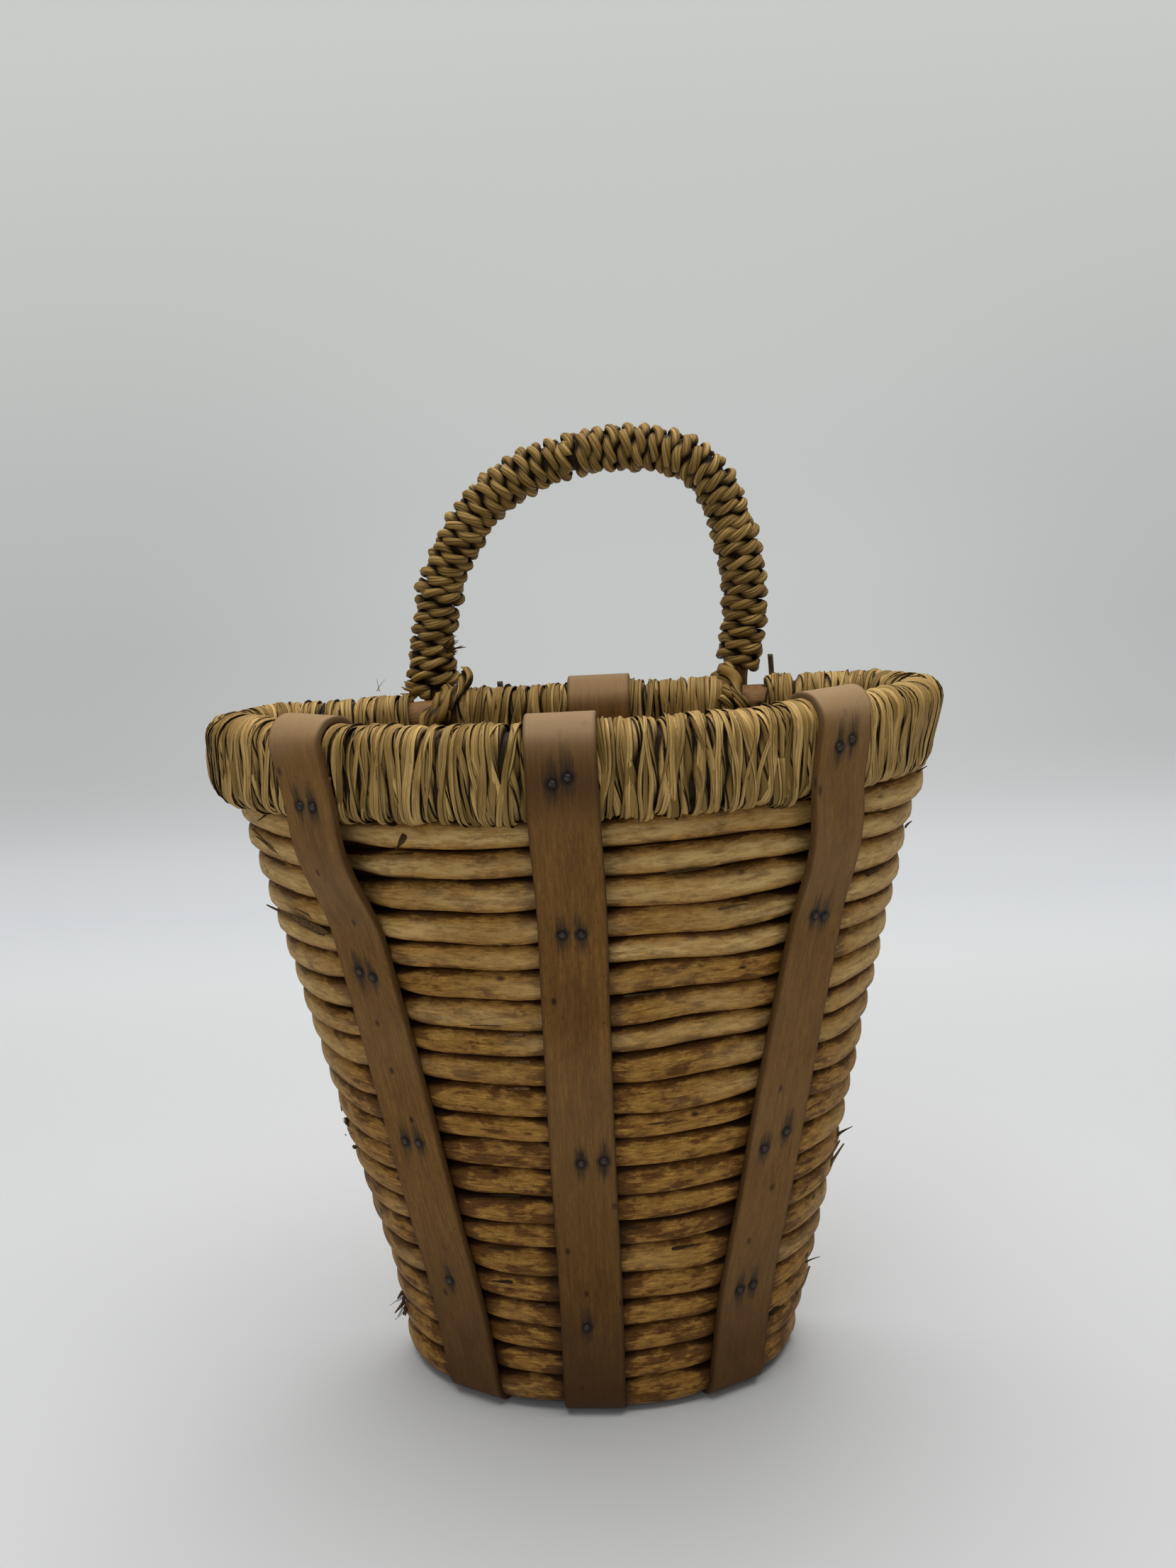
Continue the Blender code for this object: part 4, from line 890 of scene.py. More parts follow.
# The straps: four strips of split wood, bent under the base, up the outside, over the rim and down
# the inside. They are weathered at the fold and stained blue-black round the nails.
STRAP_THICKNESS = 0.0032
STRAP_CLEARANCE = 0.0003
STRAP_FOLD = 0.026
STRAP_SPRING = 0.052
STRAP_STEP = 0.0011
STRAP_TURNS = {"left": -6.0, "centre": 0.0, "right": 8.0}
STRAP_SHIFTS = {"left": -0.0020, "centre": -0.0005, "right": 0.0040, "back": 0.0}
STRAP_LEANS = {"left": 0.25, "centre": 0.0, "right": -0.20, "back": 0.0}
STRAP_SIDES = {"left": 0.0042, "centre": 0.0022, "right": 0.0042, "back": 0.0026}
WRAP_CHAMFER = 0.0058
BASE_THICKNESS = 0.010
FACE_COLUMNS = 27


def strap_frame(strap, sizes, back_y, height, turn_share=0.0):
    """A strap's place in the plan at a height, with the outward normal turned by a share of its turn."""
    if strap == "back":
        return np.array([BACK_STRAP_X, back_y]), np.array([0.0, 1.0])
    corner = WALL_CORNER_RADIUS if back_y == BACK_FACE_Y else RIM_CORNER_RADIUS
    a = ellipse_reach(*sizes, back_y, corner)
    _, _, ends, normal = strap_chord(strap, a, sizes[1], height)
    turn = math.radians(STRAP_TURNS[strap]) * turn_share
    cosine, sine = math.cos(turn), math.sin(turn)
    turned = np.array([normal[0] * cosine - normal[1] * sine, normal[0] * sine + normal[1] * cosine])
    return ends.mean(axis=0), turned


def strap_line(strap):
    """Middle line of a strap as rows (x, y, z, normal x, normal y), from under the base to the inside."""
    half = STRAP_THICKNESS / 2
    rows = []

    def wall(height, outward, face=None, turn_share=0.0):
        place = height if face is None else face
        point, normal = strap_frame(strap, wall_sizes(place), BACK_FACE_Y, place, turn_share)
        rows.append((*(point + normal * outward), height, *normal))

    def rim(outward, height, turn_share):
        point, normal = strap_frame(strap, tuple(RIM.values()), RIM_BACK_Y, RIM_HEIGHT, turn_share)
        lean = STRAP_LEANS[strap] * (RIM_HEIGHT - height) * (outward > 0)
        along = np.array([-normal[1], normal[0]]) * (STRAP_SHIFTS[strap] + lean)
        pull = RIM_PULLS.get(strap, 0.0)
        x, y = point + along + normal * (outward - WRAP_WIDTH / 2 - pull)
        x, y, z = settle(np.array([x, y + PLAN_SHIFT, height]))
        rows.append((x, y - PLAN_SHIFT, z, *normal))

    lowest = mean_pitch * ROD_SHARES[0] / 2
    bend = lowest + STRAP_CLEARANCE + half
    bend_height = bend + half
    wall(half, -lowest - STRAP_FOLD, bend_height)
    for turn in np.linspace(0.0, math.pi / 2, 7)[:-1]:
        wall(bend_height - bend * math.cos(turn), bend * math.sin(turn) - lowest, bend_height)
    out = STRAP_CLEARANCE + half
    spring = RODS_TOP - STRAP_SPRING
    for height in np.linspace(bend_height, spring, 20):
        wall(height, out, turn_share=min(max((height - 0.16) / 0.10, 0.0), 1.0) * 0.7)
    side = WRAP_WIDTH / 2 + out
    gain = out * math.tan(math.pi / 8)
    shoulder = WRAP_HEIGHT / 2 - WRAP_CHAMFER + gain
    flat = WRAP_WIDTH / 2 - WRAP_CHAMFER + gain
    middle = RIM_HEIGHT - WRAP_HEIGHT / 2
    crown = RIM_HEIGHT + out
    rim(side, middle - shoulder, 1.0)
    landing = np.array(rows.pop())
    for share in np.linspace(0.0, 1.0, 14)[1:-1]:
        wall(spring + (middle - shoulder - spring) * share, out, turn_share=0.7)
        leaving = np.array(rows.pop())
        row = leaving + (landing - leaving) * share * share * (3 - 2 * share)
        row[2] = leaving[2]
        rows.append(tuple(row))
    for place in (
            (side, middle - shoulder, 1.0), (side, middle + shoulder, 1.0), (flat, crown, 0.8),
            (-flat, crown, 0.3), (-side, middle + shoulder, 0.0), (-side, middle - shoulder, 0.0)):
        rim(*place)
    inside = -mean_pitch * ROD_SHARES.max() - out
    for height in np.linspace(RODS_TOP - STRAP_THICKNESS, RODS_FLOOR + BASE_THICKNESS + STRAP_CLEARANCE, 16):
        wall(height, inside)
    rows = np.array(rows)
    lengths = lengths_along(rows[:, :3])
    count = int(lengths[-1] / STRAP_STEP)
    fine = np.stack([np.interp(np.linspace(0.0, lengths[-1], count), lengths, column) for column in rows.T], axis=1)
    soft = smooth(fine, max(int(STRAP_SIDES[strap] / STRAP_STEP), 1))
    soft[:3], soft[-3:] = fine[:3], fine[-3:]
    return soft


def strap_outline(width, thickness, edge):
    """Section of a strap as (across, out) points: a fine outer face, round edges and a coarse inner face."""
    face = np.linspace(-width / 2 + edge, width / 2 - edge, FACE_COLUMNS)
    turn = np.linspace(math.pi / 2, -math.pi / 2, 6)[1:-1]
    round_edge = np.stack([width / 2 - edge + edge * np.cos(turn), thickness / 2 * np.sin(turn)], axis=1)
    inner = np.linspace(width / 2 - edge, -width / 2 + edge, 7)
    return np.concatenate([
        np.stack([face, np.full(FACE_COLUMNS, thickness / 2)], axis=1), round_edge,
        np.stack([inner, np.full(7, -thickness / 2)], axis=1), round_edge[::-1] * (-1, 1)])


strap_wood, strap_tree, strap_shader, strap_colour = wood_material(
    "bent_strap_wood", (0.240, 0.117, 0.024), (0.140, 0.062, 0.011), (0.085, 0.033, 0.006),
    (620.0, 110.0, 40.0), 0.7, (0.52, 0.72), 0.28, 0.3)
strap_worn = add_node(strap_tree, "ShaderNodeAttribute", attribute_name="worn").outputs["Fac"]
strap_darkening = add_node(strap_tree, "ShaderNodeAttribute", attribute_name="darkening").outputs["Fac"]
strap_iron = add_node(strap_tree, "ShaderNodeAttribute", attribute_name="iron").outputs["Fac"]
strap_edge = add_node(strap_tree, "ShaderNodeAttribute", attribute_name="edge").outputs["Fac"]
strap_colour = mix_colour(strap_tree, strap_worn, strap_colour, (0.37, 0.245, 0.125))
strap_colour = mix_colour(strap_tree, strap_darkening, strap_colour, (0.06, 0.024, 0.006))
strap_colour = mix_colour(strap_tree, strap_edge, strap_colour, (0.035, 0.015, 0.004))
strap_place = add_node(strap_tree, "ShaderNodeUVMap", uv_map="run").outputs[0]
strap_run = add_node(strap_tree, "ShaderNodeMapping", {"Vector": strap_place, "Scale": (0.12, 1.0, 1.0)})
strap_bleed = add_node(strap_tree, "ShaderNodeTexNoise", {"Vector": strap_run.outputs[0], "Scale": 700.0, "Detail": 5.0, "Roughness": 0.65})
strap_bleed_part = add_node(strap_tree, "ShaderNodeMath", {0: strap_bleed.outputs["Fac"], 1: 1.0, 2: -0.5}, operation="MULTIPLY_ADD").outputs[0]
strap_iron_sum = add_node(strap_tree, "ShaderNodeMath", {0: strap_iron, 1: strap_bleed_part}, operation="ADD").outputs[0]
strap_iron_part = add_ramp(strap_tree, strap_iron_sum, [(0.12, 0.0), (0.45, 0.62), (0.85, 0.97)])
strap_colour = mix_colour(strap_tree, strap_iron_part, strap_colour, (0.010, 0.0095, 0.010))
strap_tree.links.new(strap_colour, strap_shader.inputs["Base Color"])

NAIL_PLACES = {
    "left": ((0.9045, -0.45), (0.909, 0.68), (0.6695, -0.48), (0.674, 0.55), (0.423, -0.56), (0.4255, 0.58), (0.203, 0.10)),
    "centre": ((0.942, -0.35), (0.9355, 0.55), (0.7395, -0.5), (0.7395, 0.65), (0.416, -1.35), (0.414, 0.11), (0.1545, 0.30)),
    "right": ((0.9525, -0.5), (0.944, 0.5), (0.72, -0.35), (0.723, 0.5), (0.416, -0.7), (0.3965, 0.9), (0.181, -0.35), (0.178, 0.7)),
    "back": (),
}
NAIL_SPACING = 0.0066
STRAP_DARKENING = {"left": (0.111, 0.62), "centre": (0.147, 0.88), "right": (0.099, 0.50), "back": (0.147, 0.85)}
strap_faces = {}


def build_strap(strap):
    """A strap: its section carried along its line, with worn, stained and dark-edged places marked."""
    line = strap_line(strap)
    centre = line[:, :3] + np.array([0.0, PLAN_SHIFT, 0.0])
    tangent = unit(np.gradient(centre, axis=0))
    across = unit(np.stack([-line[:, 4], line[:, 3], np.zeros(len(line))], axis=1))
    out = unit(np.cross(across, tangent))
    out *= np.sign((out[len(out) // 5] * np.array([*line[len(out) // 5, 3:], 0.0])).sum())
    across = np.cross(tangent, out)
    run = lengths_along(centre)
    section = strap_outline(STRAP_WIDTH, STRAP_THICKNESS, 0.0006)
    crown = int(np.argmax(centre[:, 2]))
    source = np.random.default_rng(len(strap))
    waver = 0.0002 * drift(len(run), 30, source)
    grid = (centre + across * waver[:, None])[:, None] + section[:, 0, None] * across[:, None] + section[:, 1, None] * out[:, None]
    fold = np.exp(-((run - run[crown]) / 0.017) ** 4) + 0.10 * np.exp(-((run - run[crown] + 0.03) / 0.03) ** 2)
    worn = np.clip(fold * (0.60 if strap == "back" else 0.75) + 0.04 + 0.05 * drift(len(run), 16, source), 0.0, 0.9)
    darkening_reach, most_darkening = STRAP_DARKENING[strap]
    # Each strap is darker towards the bottom.
    darkening = np.clip((darkening_reach - centre[:, 2]) / 0.150, 0.0, most_darkening) + 0.05 * drift(len(run), 20, source)
    # Painted shade on the centre strap's front face, just below its fold over the rim.
    if strap == "centre":
        darkening = darkening + 0.70 * np.exp(-((run - run[crown] + 0.031) / 0.015) ** 2)
    darkening = np.clip(darkening, 0.0, 0.88)
    edge = np.clip((np.abs(section[:, 0]) - STRAP_WIDTH / 2 + 0.0012) / 0.0010, 0.0, 1.0) * 0.6
    iron = np.zeros((len(run), len(section)))
    outer = np.arange(len(run)) <= crown
    for height_share, side_share in NAIL_PLACES[strap]:
        row = int(np.argmin(np.where(outer & (run > 0.06), np.abs(centre[:, 2] - height_share * RIM_HEIGHT), np.inf)))
        down = run - run[row]
        aside = section[:, 0] - side_share * NAIL_SPACING * -1.0
        length = np.where(down > 0, 0.010, 0.008)[:, None]
        cloud = np.exp(-(down[:, None] / length) ** 2 - (aside[None, :] / 0.0030) ** 2) * 0.62
        ring = np.exp(-((down[:, None] / 0.0034) ** 2 + (aside[None, :] / 0.0030) ** 2) ** 2)
        iron = np.maximum(iron, np.maximum(cloud, ring))
        if strap == "centre" and side_share < -1.0:
            split = np.exp(-(down[:, None] / 0.0088) ** 6 - (aside[None, :] / 0.0006) ** 2)
            iron = np.maximum(iron, split)
        strap_faces.setdefault(strap, []).append((centre[row] + out[row] * STRAP_THICKNESS / 2 + across[row] * side_share * NAIL_SPACING * -1.0, out[row]))
    corner_map = tube_map(run + 5.0 * len(strap), np.append(np.cumsum(np.r_[0.0, np.linalg.norm(np.diff(section, axis=0), axis=1)]), 0.0665))
    add_surface(f"strap_{strap}_bent", grid, strap_wood, corner_map,
                {"worn": worn, "darkening": darkening, "iron": iron * (section[:, 1] > 0), "edge": edge[None, :], "tone": np.full(len(run), 0.2 * len(strap))},
                "bent_strap_wood", ["strap_back" if strap == "back" else f"strap_front_{strap}"])


for strap_name in STRAP_SIDES:
    build_strap(strap_name)

# The nails: small hand-made iron heads, two side by side, driven through each strap into the rods.
NAIL_RADIUS = 0.0015
NAIL_DOME = 0.0008
nail_iron, nail_tree, nail_shader = new_material("nail_iron", (0.035, 0.032, 0.03), 0.5)
nail_shader.inputs["Metallic"].default_value = 0.35
nail_place = add_node(nail_tree, "ShaderNodeTexCoord").outputs["Object"]
nail_noise = add_node(nail_tree, "ShaderNodeTexNoise", {"Vector": nail_place, "Scale": 900.0, "Detail": 4.0})
nail_tree.links.new(add_ramp(nail_tree, nail_noise.outputs["Fac"], [(0.4, (0.018, 0.014, 0.011)), (0.6, (0.06, 0.042, 0.030))]), nail_shader.inputs["Base Color"])
nail_relief = add_node(nail_tree, "ShaderNodeBump", {"Strength": 0.6, "Distance": 0.0003, "Height": nail_noise.outputs["Fac"]})
nail_tree.links.new(nail_relief.outputs[0], nail_shader.inputs["Normal"])


def nail_grid(seat, out):
    """A domed head: rings of given shares of its radius, at given shares of its height over its seat."""
    rings = np.array([(0.6, -0.4), (1.0, -0.4), (1.0, 0.15), (0.93, 0.55), (0.72, 0.85), (0.4, 0.98), (0.08, 1.0)])
    side = np.cross(out, [0.0, 0.0, 1.0])
    side /= np.linalg.norm(side)
    up = np.cross(side, out)
    angle = np.arange(14) / 14 * 2 * math.pi
    circle = np.cos(angle)[:, None] * side + np.sin(angle)[:, None] * up
    return seat + rings[:, 0, None, None] * NAIL_RADIUS * circle + rings[:, 1, None, None] * NAIL_DOME * out


for strap_name, seats in strap_faces.items():
    grids = [nail_grid(seat, out) for seat, out in seats]
    nail_map = np.zeros((grids[0].shape[0], grids[0].shape[1] + 1, 2))
    nail_nodes = [f"nail_front_{strap_name}_{index + 1}" for index in range(len(seats))]
    add_surface(f"nails_{strap_name}", grids[0], nail_iron, nail_map, {}, "nail_iron", nail_nodes, [(item, nail_map, {}) for item in grids[1:]])

# The handle: a bent rod whose legs go down inside the back rim.
FOOT_HALF_SPACING = 0.070
HANDLE_CENTRE_X = 0.005
HANDLE_RISE = 0.103
LEG_DROP = 0.085
BOW_RADIUS = 0.0049
BOW_PLANE_Y = 0.0158
BOW_SHARES = np.array([
    (-1.00, 0.00), (-0.985, 0.18), (-0.935, 0.34), (-0.885, 0.48), (-0.785, 0.60), (-0.668, 0.735), (-0.492, 0.842),
    (-0.24, 0.935), (0.05, 0.986), (0.38, 1.0), (0.64, 0.970), (0.815, 0.902), (0.92, 0.805), (0.98, 0.69),
    (1.045, 0.53), (1.07, 0.36), (1.055, 0.19), (1.00, 0.00)])


def spline(points, steps):
    """A Catmull-Rom curve through the points, steps samples a span."""
    padded = np.vstack([2 * points[0] - points[1], points, 2 * points[-1] - points[-2]])
    t = np.linspace(0.0, 1.0, steps, endpoint=False)[None, :, None]
    p0, p1, p2, p3 = (padded[k:len(padded) - 3 + k][:, None] for k in range(4))
    curve = 0.5 * (2 * p1 + (p2 - p0) * t + (2 * p0 - 5 * p1 + 4 * p2 - p3) * t ** 2 + (3 * p1 - p0 - 3 * p2 + p3) * t ** 3)
    return np.vstack([curve.reshape(-1, points.shape[1]), points[-1:]])


bow_arch = spline(np.stack([HANDLE_CENTRE_X + BOW_SHARES[:, 0] * FOOT_HALF_SPACING, RIM_HEIGHT + BOW_SHARES[:, 1] * HANDLE_RISE], axis=1), 20)
bow_route = np.vstack([[bow_arch[0, 0], RIM_HEIGHT - LEG_DROP], bow_arch, [bow_arch[-1, 0], RIM_HEIGHT - LEG_DROP]])
bow_route = smooth(resample(bow_route, np.linspace(0.0, lengths_along(bow_route)[-1], 300)), 3)
bow_centre = np.stack([bow_route[:, 0], np.full(300, BOW_PLANE_Y + PLAN_SHIFT), bow_route[:, 1]], axis=1)
bow_tangent = unit(np.gradient(bow_centre, axis=0))
bow_side = np.broadcast_to([0.0, 1.0, 0.0], bow_tangent.shape)
bow_up = np.cross(bow_tangent, bow_side)
bow_angle = np.arange(16) / 16 * 2 * math.pi
bow_size = (BOW_RADIUS * (1.0 + 0.02 * drift(300, 8)))[:, None, None]
bow_grid = bow_centre[:, None] + bow_size * (np.cos(bow_angle)[:, None] * bow_side[:, None] + np.sin(bow_angle)[:, None] * bow_up[:, None])
bow_map = tube_map(lengths_along(bow_centre) + 31.0, np.append(bow_angle, 2 * math.pi) * BOW_RADIUS)
add_surface("bow_rod", bow_grid, hoop_wood, bow_map, {"tone": np.full(300, 3.3)}, "peeled_hoop", ["handle_bow"])

# The rope on the handle: two-ply seagrass cord wound tightly round the bow in two lengths.
ROPE_PITCH = 0.0063
ROPE_CENTRE = 0.0075
ROPE_START = {"left": 0.0054, "right": 0.0042}
ROPE_BELOW = 0.006
ROPE_STEP = 0.0013
ROPE_TWIST = 0.0172
ROPE_REACH = (0.0013, 0.0015)
ROPE_SIZE = (0.0019, 0.00205)
ROPE_JOIN = 0.462
BED_RADIUS = 0.0066
rope, rope_tree, rope_shader = new_material("seagrass_rope", (0.25, 0.17, 0.07), 0.55)
rope_shader.inputs["Specular IOR Level"].default_value = 0.18
finish_leaf_material(rope_tree, rope_shader, (0.59, 0.385, 0.125), (0.33, 0.19, 0.046), (0.30, 0.18, 0.044), (0.015, 0.006, 0.001), 1500.0, 0.6)


ROPE_SWELLS = ((0.008, 0.010, 0.0023), (0.049, 0.0045, 0.0017))
rope_arch = np.vstack([bow_arch[:1] - (0.0, ROPE_BELOW), bow_arch])


def rope_line(start_share, end_share, turns, seed):
    """The rope's middle line: a helix about the arch, centre = arch + R (n cos w + y sin w)."""
    lengths = lengths_along(rope_arch)
    low, high = ROPE_START["left"], lengths[-1] - ROPE_START["right"]
    count = int(turns * 2 * math.pi * ROPE_CENTRE / ROPE_STEP)
    share = np.linspace(0.0, 1.0, count)
    source = np.random.default_rng(seed)
    distance = low + (high - low) * (start_share + (end_share - start_share) * share) + 0.0003 * drift(count, 10, source)
    winding = 2 * math.pi * turns * share
    x, z = (np.interp(distance, lengths, column) for column in rope_arch.T)
    tangent = unit(np.gradient(rope_arch, axis=0))
    tx, tz = (np.interp(distance, lengths, column) for column in tangent.T)
    normal = unit(np.stack([-tz * np.sin(winding), -np.cos(winding), tx * np.sin(winding)], axis=1))
    middle = np.stack([x, np.full(count, BOW_PLANE_Y + PLAN_SHIFT), z], axis=1)
    radius = ROPE_CENTRE + 0.0002 * drift(count, 14, source)
    for place, reach, swell in ROPE_SWELLS:
        radius = radius + swell * np.exp(-((distance - place) / reach) ** 2)
    return middle + normal * radius[:, None], normal


rope_turns = (lengths_along(rope_arch)[-1] - sum(ROPE_START.values())) / ROPE_PITCH
for rope_name, rope_from, rope_to, rope_seed in (("left", 0.0, ROPE_JOIN, 7), ("right", ROPE_JOIN + 0.004, 1.0, 8)):
    rope_centre, rope_normal = rope_line(rope_from, rope_to, rope_turns * (rope_to - rope_from), rope_seed)
    add_cord(f"rope_{rope_name}", rope_centre, rope_normal, ROPE_TWIST, ROPE_REACH, ROPE_SIZE, 6, 0.05, 0.5, 0.55,
             rope, "seagrass_rope", [f"handle_rope_{rope_name}"], rope_seed)
# A sleeve of painted shade close under the rope, seen in the gaps between its turns.
bed_line = resample(rope_arch, np.linspace(ROPE_START["left"], lengths_along(rope_arch)[-1] - ROPE_START["right"], 200))
bed_centre = np.stack([bed_line[:, 0], np.full(200, BOW_PLANE_Y + PLAN_SHIFT), bed_line[:, 1]], axis=1)
bed_tangent = unit(np.gradient(bed_centre, axis=0))
bed_up = np.cross(bed_tangent, [0.0, 1.0, 0.0])
bed_grid = bed_centre[:, None] + BED_RADIUS * (np.cos(bow_angle)[:, None] * bow_side[:200, None] + np.sin(bow_angle)[:, None] * bed_up[:, None])
bed_map = tube_map(lengths_along(bed_centre), np.append(bow_angle, 2 * math.pi) * BED_RADIUS)
add_surface("rope_shade_bed", bed_grid, rope, bed_map, {"shade_and_dark": np.full(200, 0.97), "leaf": np.full(200, 0.5)},
            "seagrass_rope", ["handle_rope_left", "handle_rope_right"])

# The foot lashings: the same rope, passed once round the bow and both hoops at each foot.
LASHING_DRIFT = {"left": 0.0068, "right": -0.0068}
LASHING_RADIUS = 0.0030


def build_lashing(side):
    """One slanted loop round leg and hoops whose two ends pass side by side in front."""
    turn = np.radians(np.linspace(-30.0, 390.0, 150))
    front = RIM_BACK_Y - WRAP_WIDTH / 2 - HOOP_RADIUS - LASHING_RADIUS
    back = BOW_PLANE_Y + BOW_RADIUS + LASHING_RADIUS
    deep, tall = (back - front) / 2, 2 * HOOP_RADIUS + LASHING_RADIUS
    y = -np.sign(np.cos(turn)) * np.abs(np.cos(turn)) ** 0.6 * deep
    z = np.sign(np.sin(turn)) * np.abs(np.sin(turn)) ** 0.6 * tall
    x = FOOT_X[side] + math.copysign(0.0098, LASHING_DRIFT[side]) * np.sin(turn) + LASHING_DRIFT[side] * (np.degrees(turn) - 180.0) / 360.0
    line = np.stack([x, (front + back) / 2 + y + PLAN_SHIFT, RIM_HEIGHT - WRAP_HEIGHT / 2 + z], axis=1)
    line = smooth(resample(line, np.linspace(0.0, lengths_along(line)[-1], 110)), 2)
    outward = unit(np.stack([0.0 * y, y, z], axis=1))
    outward = unit(smooth(np.stack([np.interp(np.linspace(0, 1, 110), np.linspace(0, 1, 150), column) for column in outward.T], axis=1), 3))
    add_cord(f"lashing_{side}", line, outward, 0.022, (0.0014, 0.0015), (0.0019, 0.0020), 5, 0.12, 0.4, 0.7,
             rope, "seagrass_rope", [f"foot_lashing_{side}"], 40 + len(side))


for foot_side in FOOT_X:
    build_lashing(foot_side)

# The winding's own ends: from its lowest turn each one passes forward and down over the hoops.
TAIL_PLACES = {
    "left": ((-0.0486, 0.0470, 0.3335), (-0.0491, 0.0405, 0.3286), (-0.0546, 0.0345, 0.3221),
             (-0.0598, 0.0325, 0.3162), (-0.0644, 0.0345, 0.3102)),
    "right": ((0.0706, 0.0470, 0.3311), (0.0717, 0.0410, 0.3261), (0.0734, 0.0345, 0.3206),
              (0.0749, 0.0325, 0.3151), (0.0762, 0.0345, 0.3103)),
}
for foot_side, tail_places in TAIL_PLACES.items():
    tail_line = spline(np.array(tail_places), 12)
    tail_normal = unit(np.cross(unit(np.gradient(tail_line, axis=0)), [1.0, 0.0, 0.0]))
    add_cord(f"rope_tail_{foot_side}", tail_line, tail_normal, 0.020, (0.0012, 0.0013), (0.0017, 0.0018), 5, 0.10, 0.4, 0.7,
             rope, "seagrass_rope", [f"handle_rope_{foot_side}"], 60 + len(foot_side))

# The twigs: two thin unpeeled sticks that stand behind the rim, their cut ends just over it.
TWIG_ENDS = {"left": ((-0.029, 0.2608), (-0.03404, 0.3270)), "right": ((0.09564, 0.2608), (0.09084, 0.3338))}
TWIG_RADIUS = 0.0013
twig_bark, twig_tree, twig_shader = new_material("twig_bark", (0.06, 0.045, 0.03), 0.7)
twig_place = add_node(twig_tree, "ShaderNodeTexCoord").outputs["Object"]
twig_noise = add_node(twig_tree, "ShaderNodeTexNoise", {"Vector": twig_place, "Scale": 500.0, "Detail": 5.0})
twig_tree.links.new(add_ramp(twig_tree, twig_noise.outputs["Fac"], [(0.35, (0.03, 0.02, 0.012)), (0.65, (0.12, 0.085, 0.05))]), twig_shader.inputs["Base Color"])
twig_relief = add_node(twig_tree, "ShaderNodeBump", {"Strength": 0.7, "Distance": 0.0004, "Height": twig_noise.outputs["Fac"]})
twig_tree.links.new(twig_relief.outputs[0], twig_shader.inputs["Normal"])
for twig_side, (low_end, high_end) in TWIG_ENDS.items():
    twig_share = np.linspace(0.0, 1.0, 60)[:, None]
    twig_line = np.array(low_end) * (1 - twig_share) + np.array(high_end) * twig_share
    twig_centre = np.stack([twig_line[:, 0] + 0.0003 * drift(60, 8), np.full(60, 0.0146 + PLAN_SHIFT), twig_line[:, 1]], axis=1)
    twig_angle = np.arange(9) / 9 * 2 * math.pi
    twig_ring = np.stack([np.cos(twig_angle), np.sin(twig_angle), 0 * twig_angle], axis=1)
    twig_size = (TWIG_RADIUS * (0.95 + 0.05 * drift(60, 4)))[:, None, None]
    twig_map = tube_map(twig_share[:, 0] * 0.08, np.append(twig_angle, 2 * math.pi) * TWIG_RADIUS)
    add_surface(f"twig_{twig_side}_bark", twig_centre[:, None] + twig_size * twig_ring, twig_bark, twig_map, {}, "twig_bark", [f"twig_{twig_side}"])

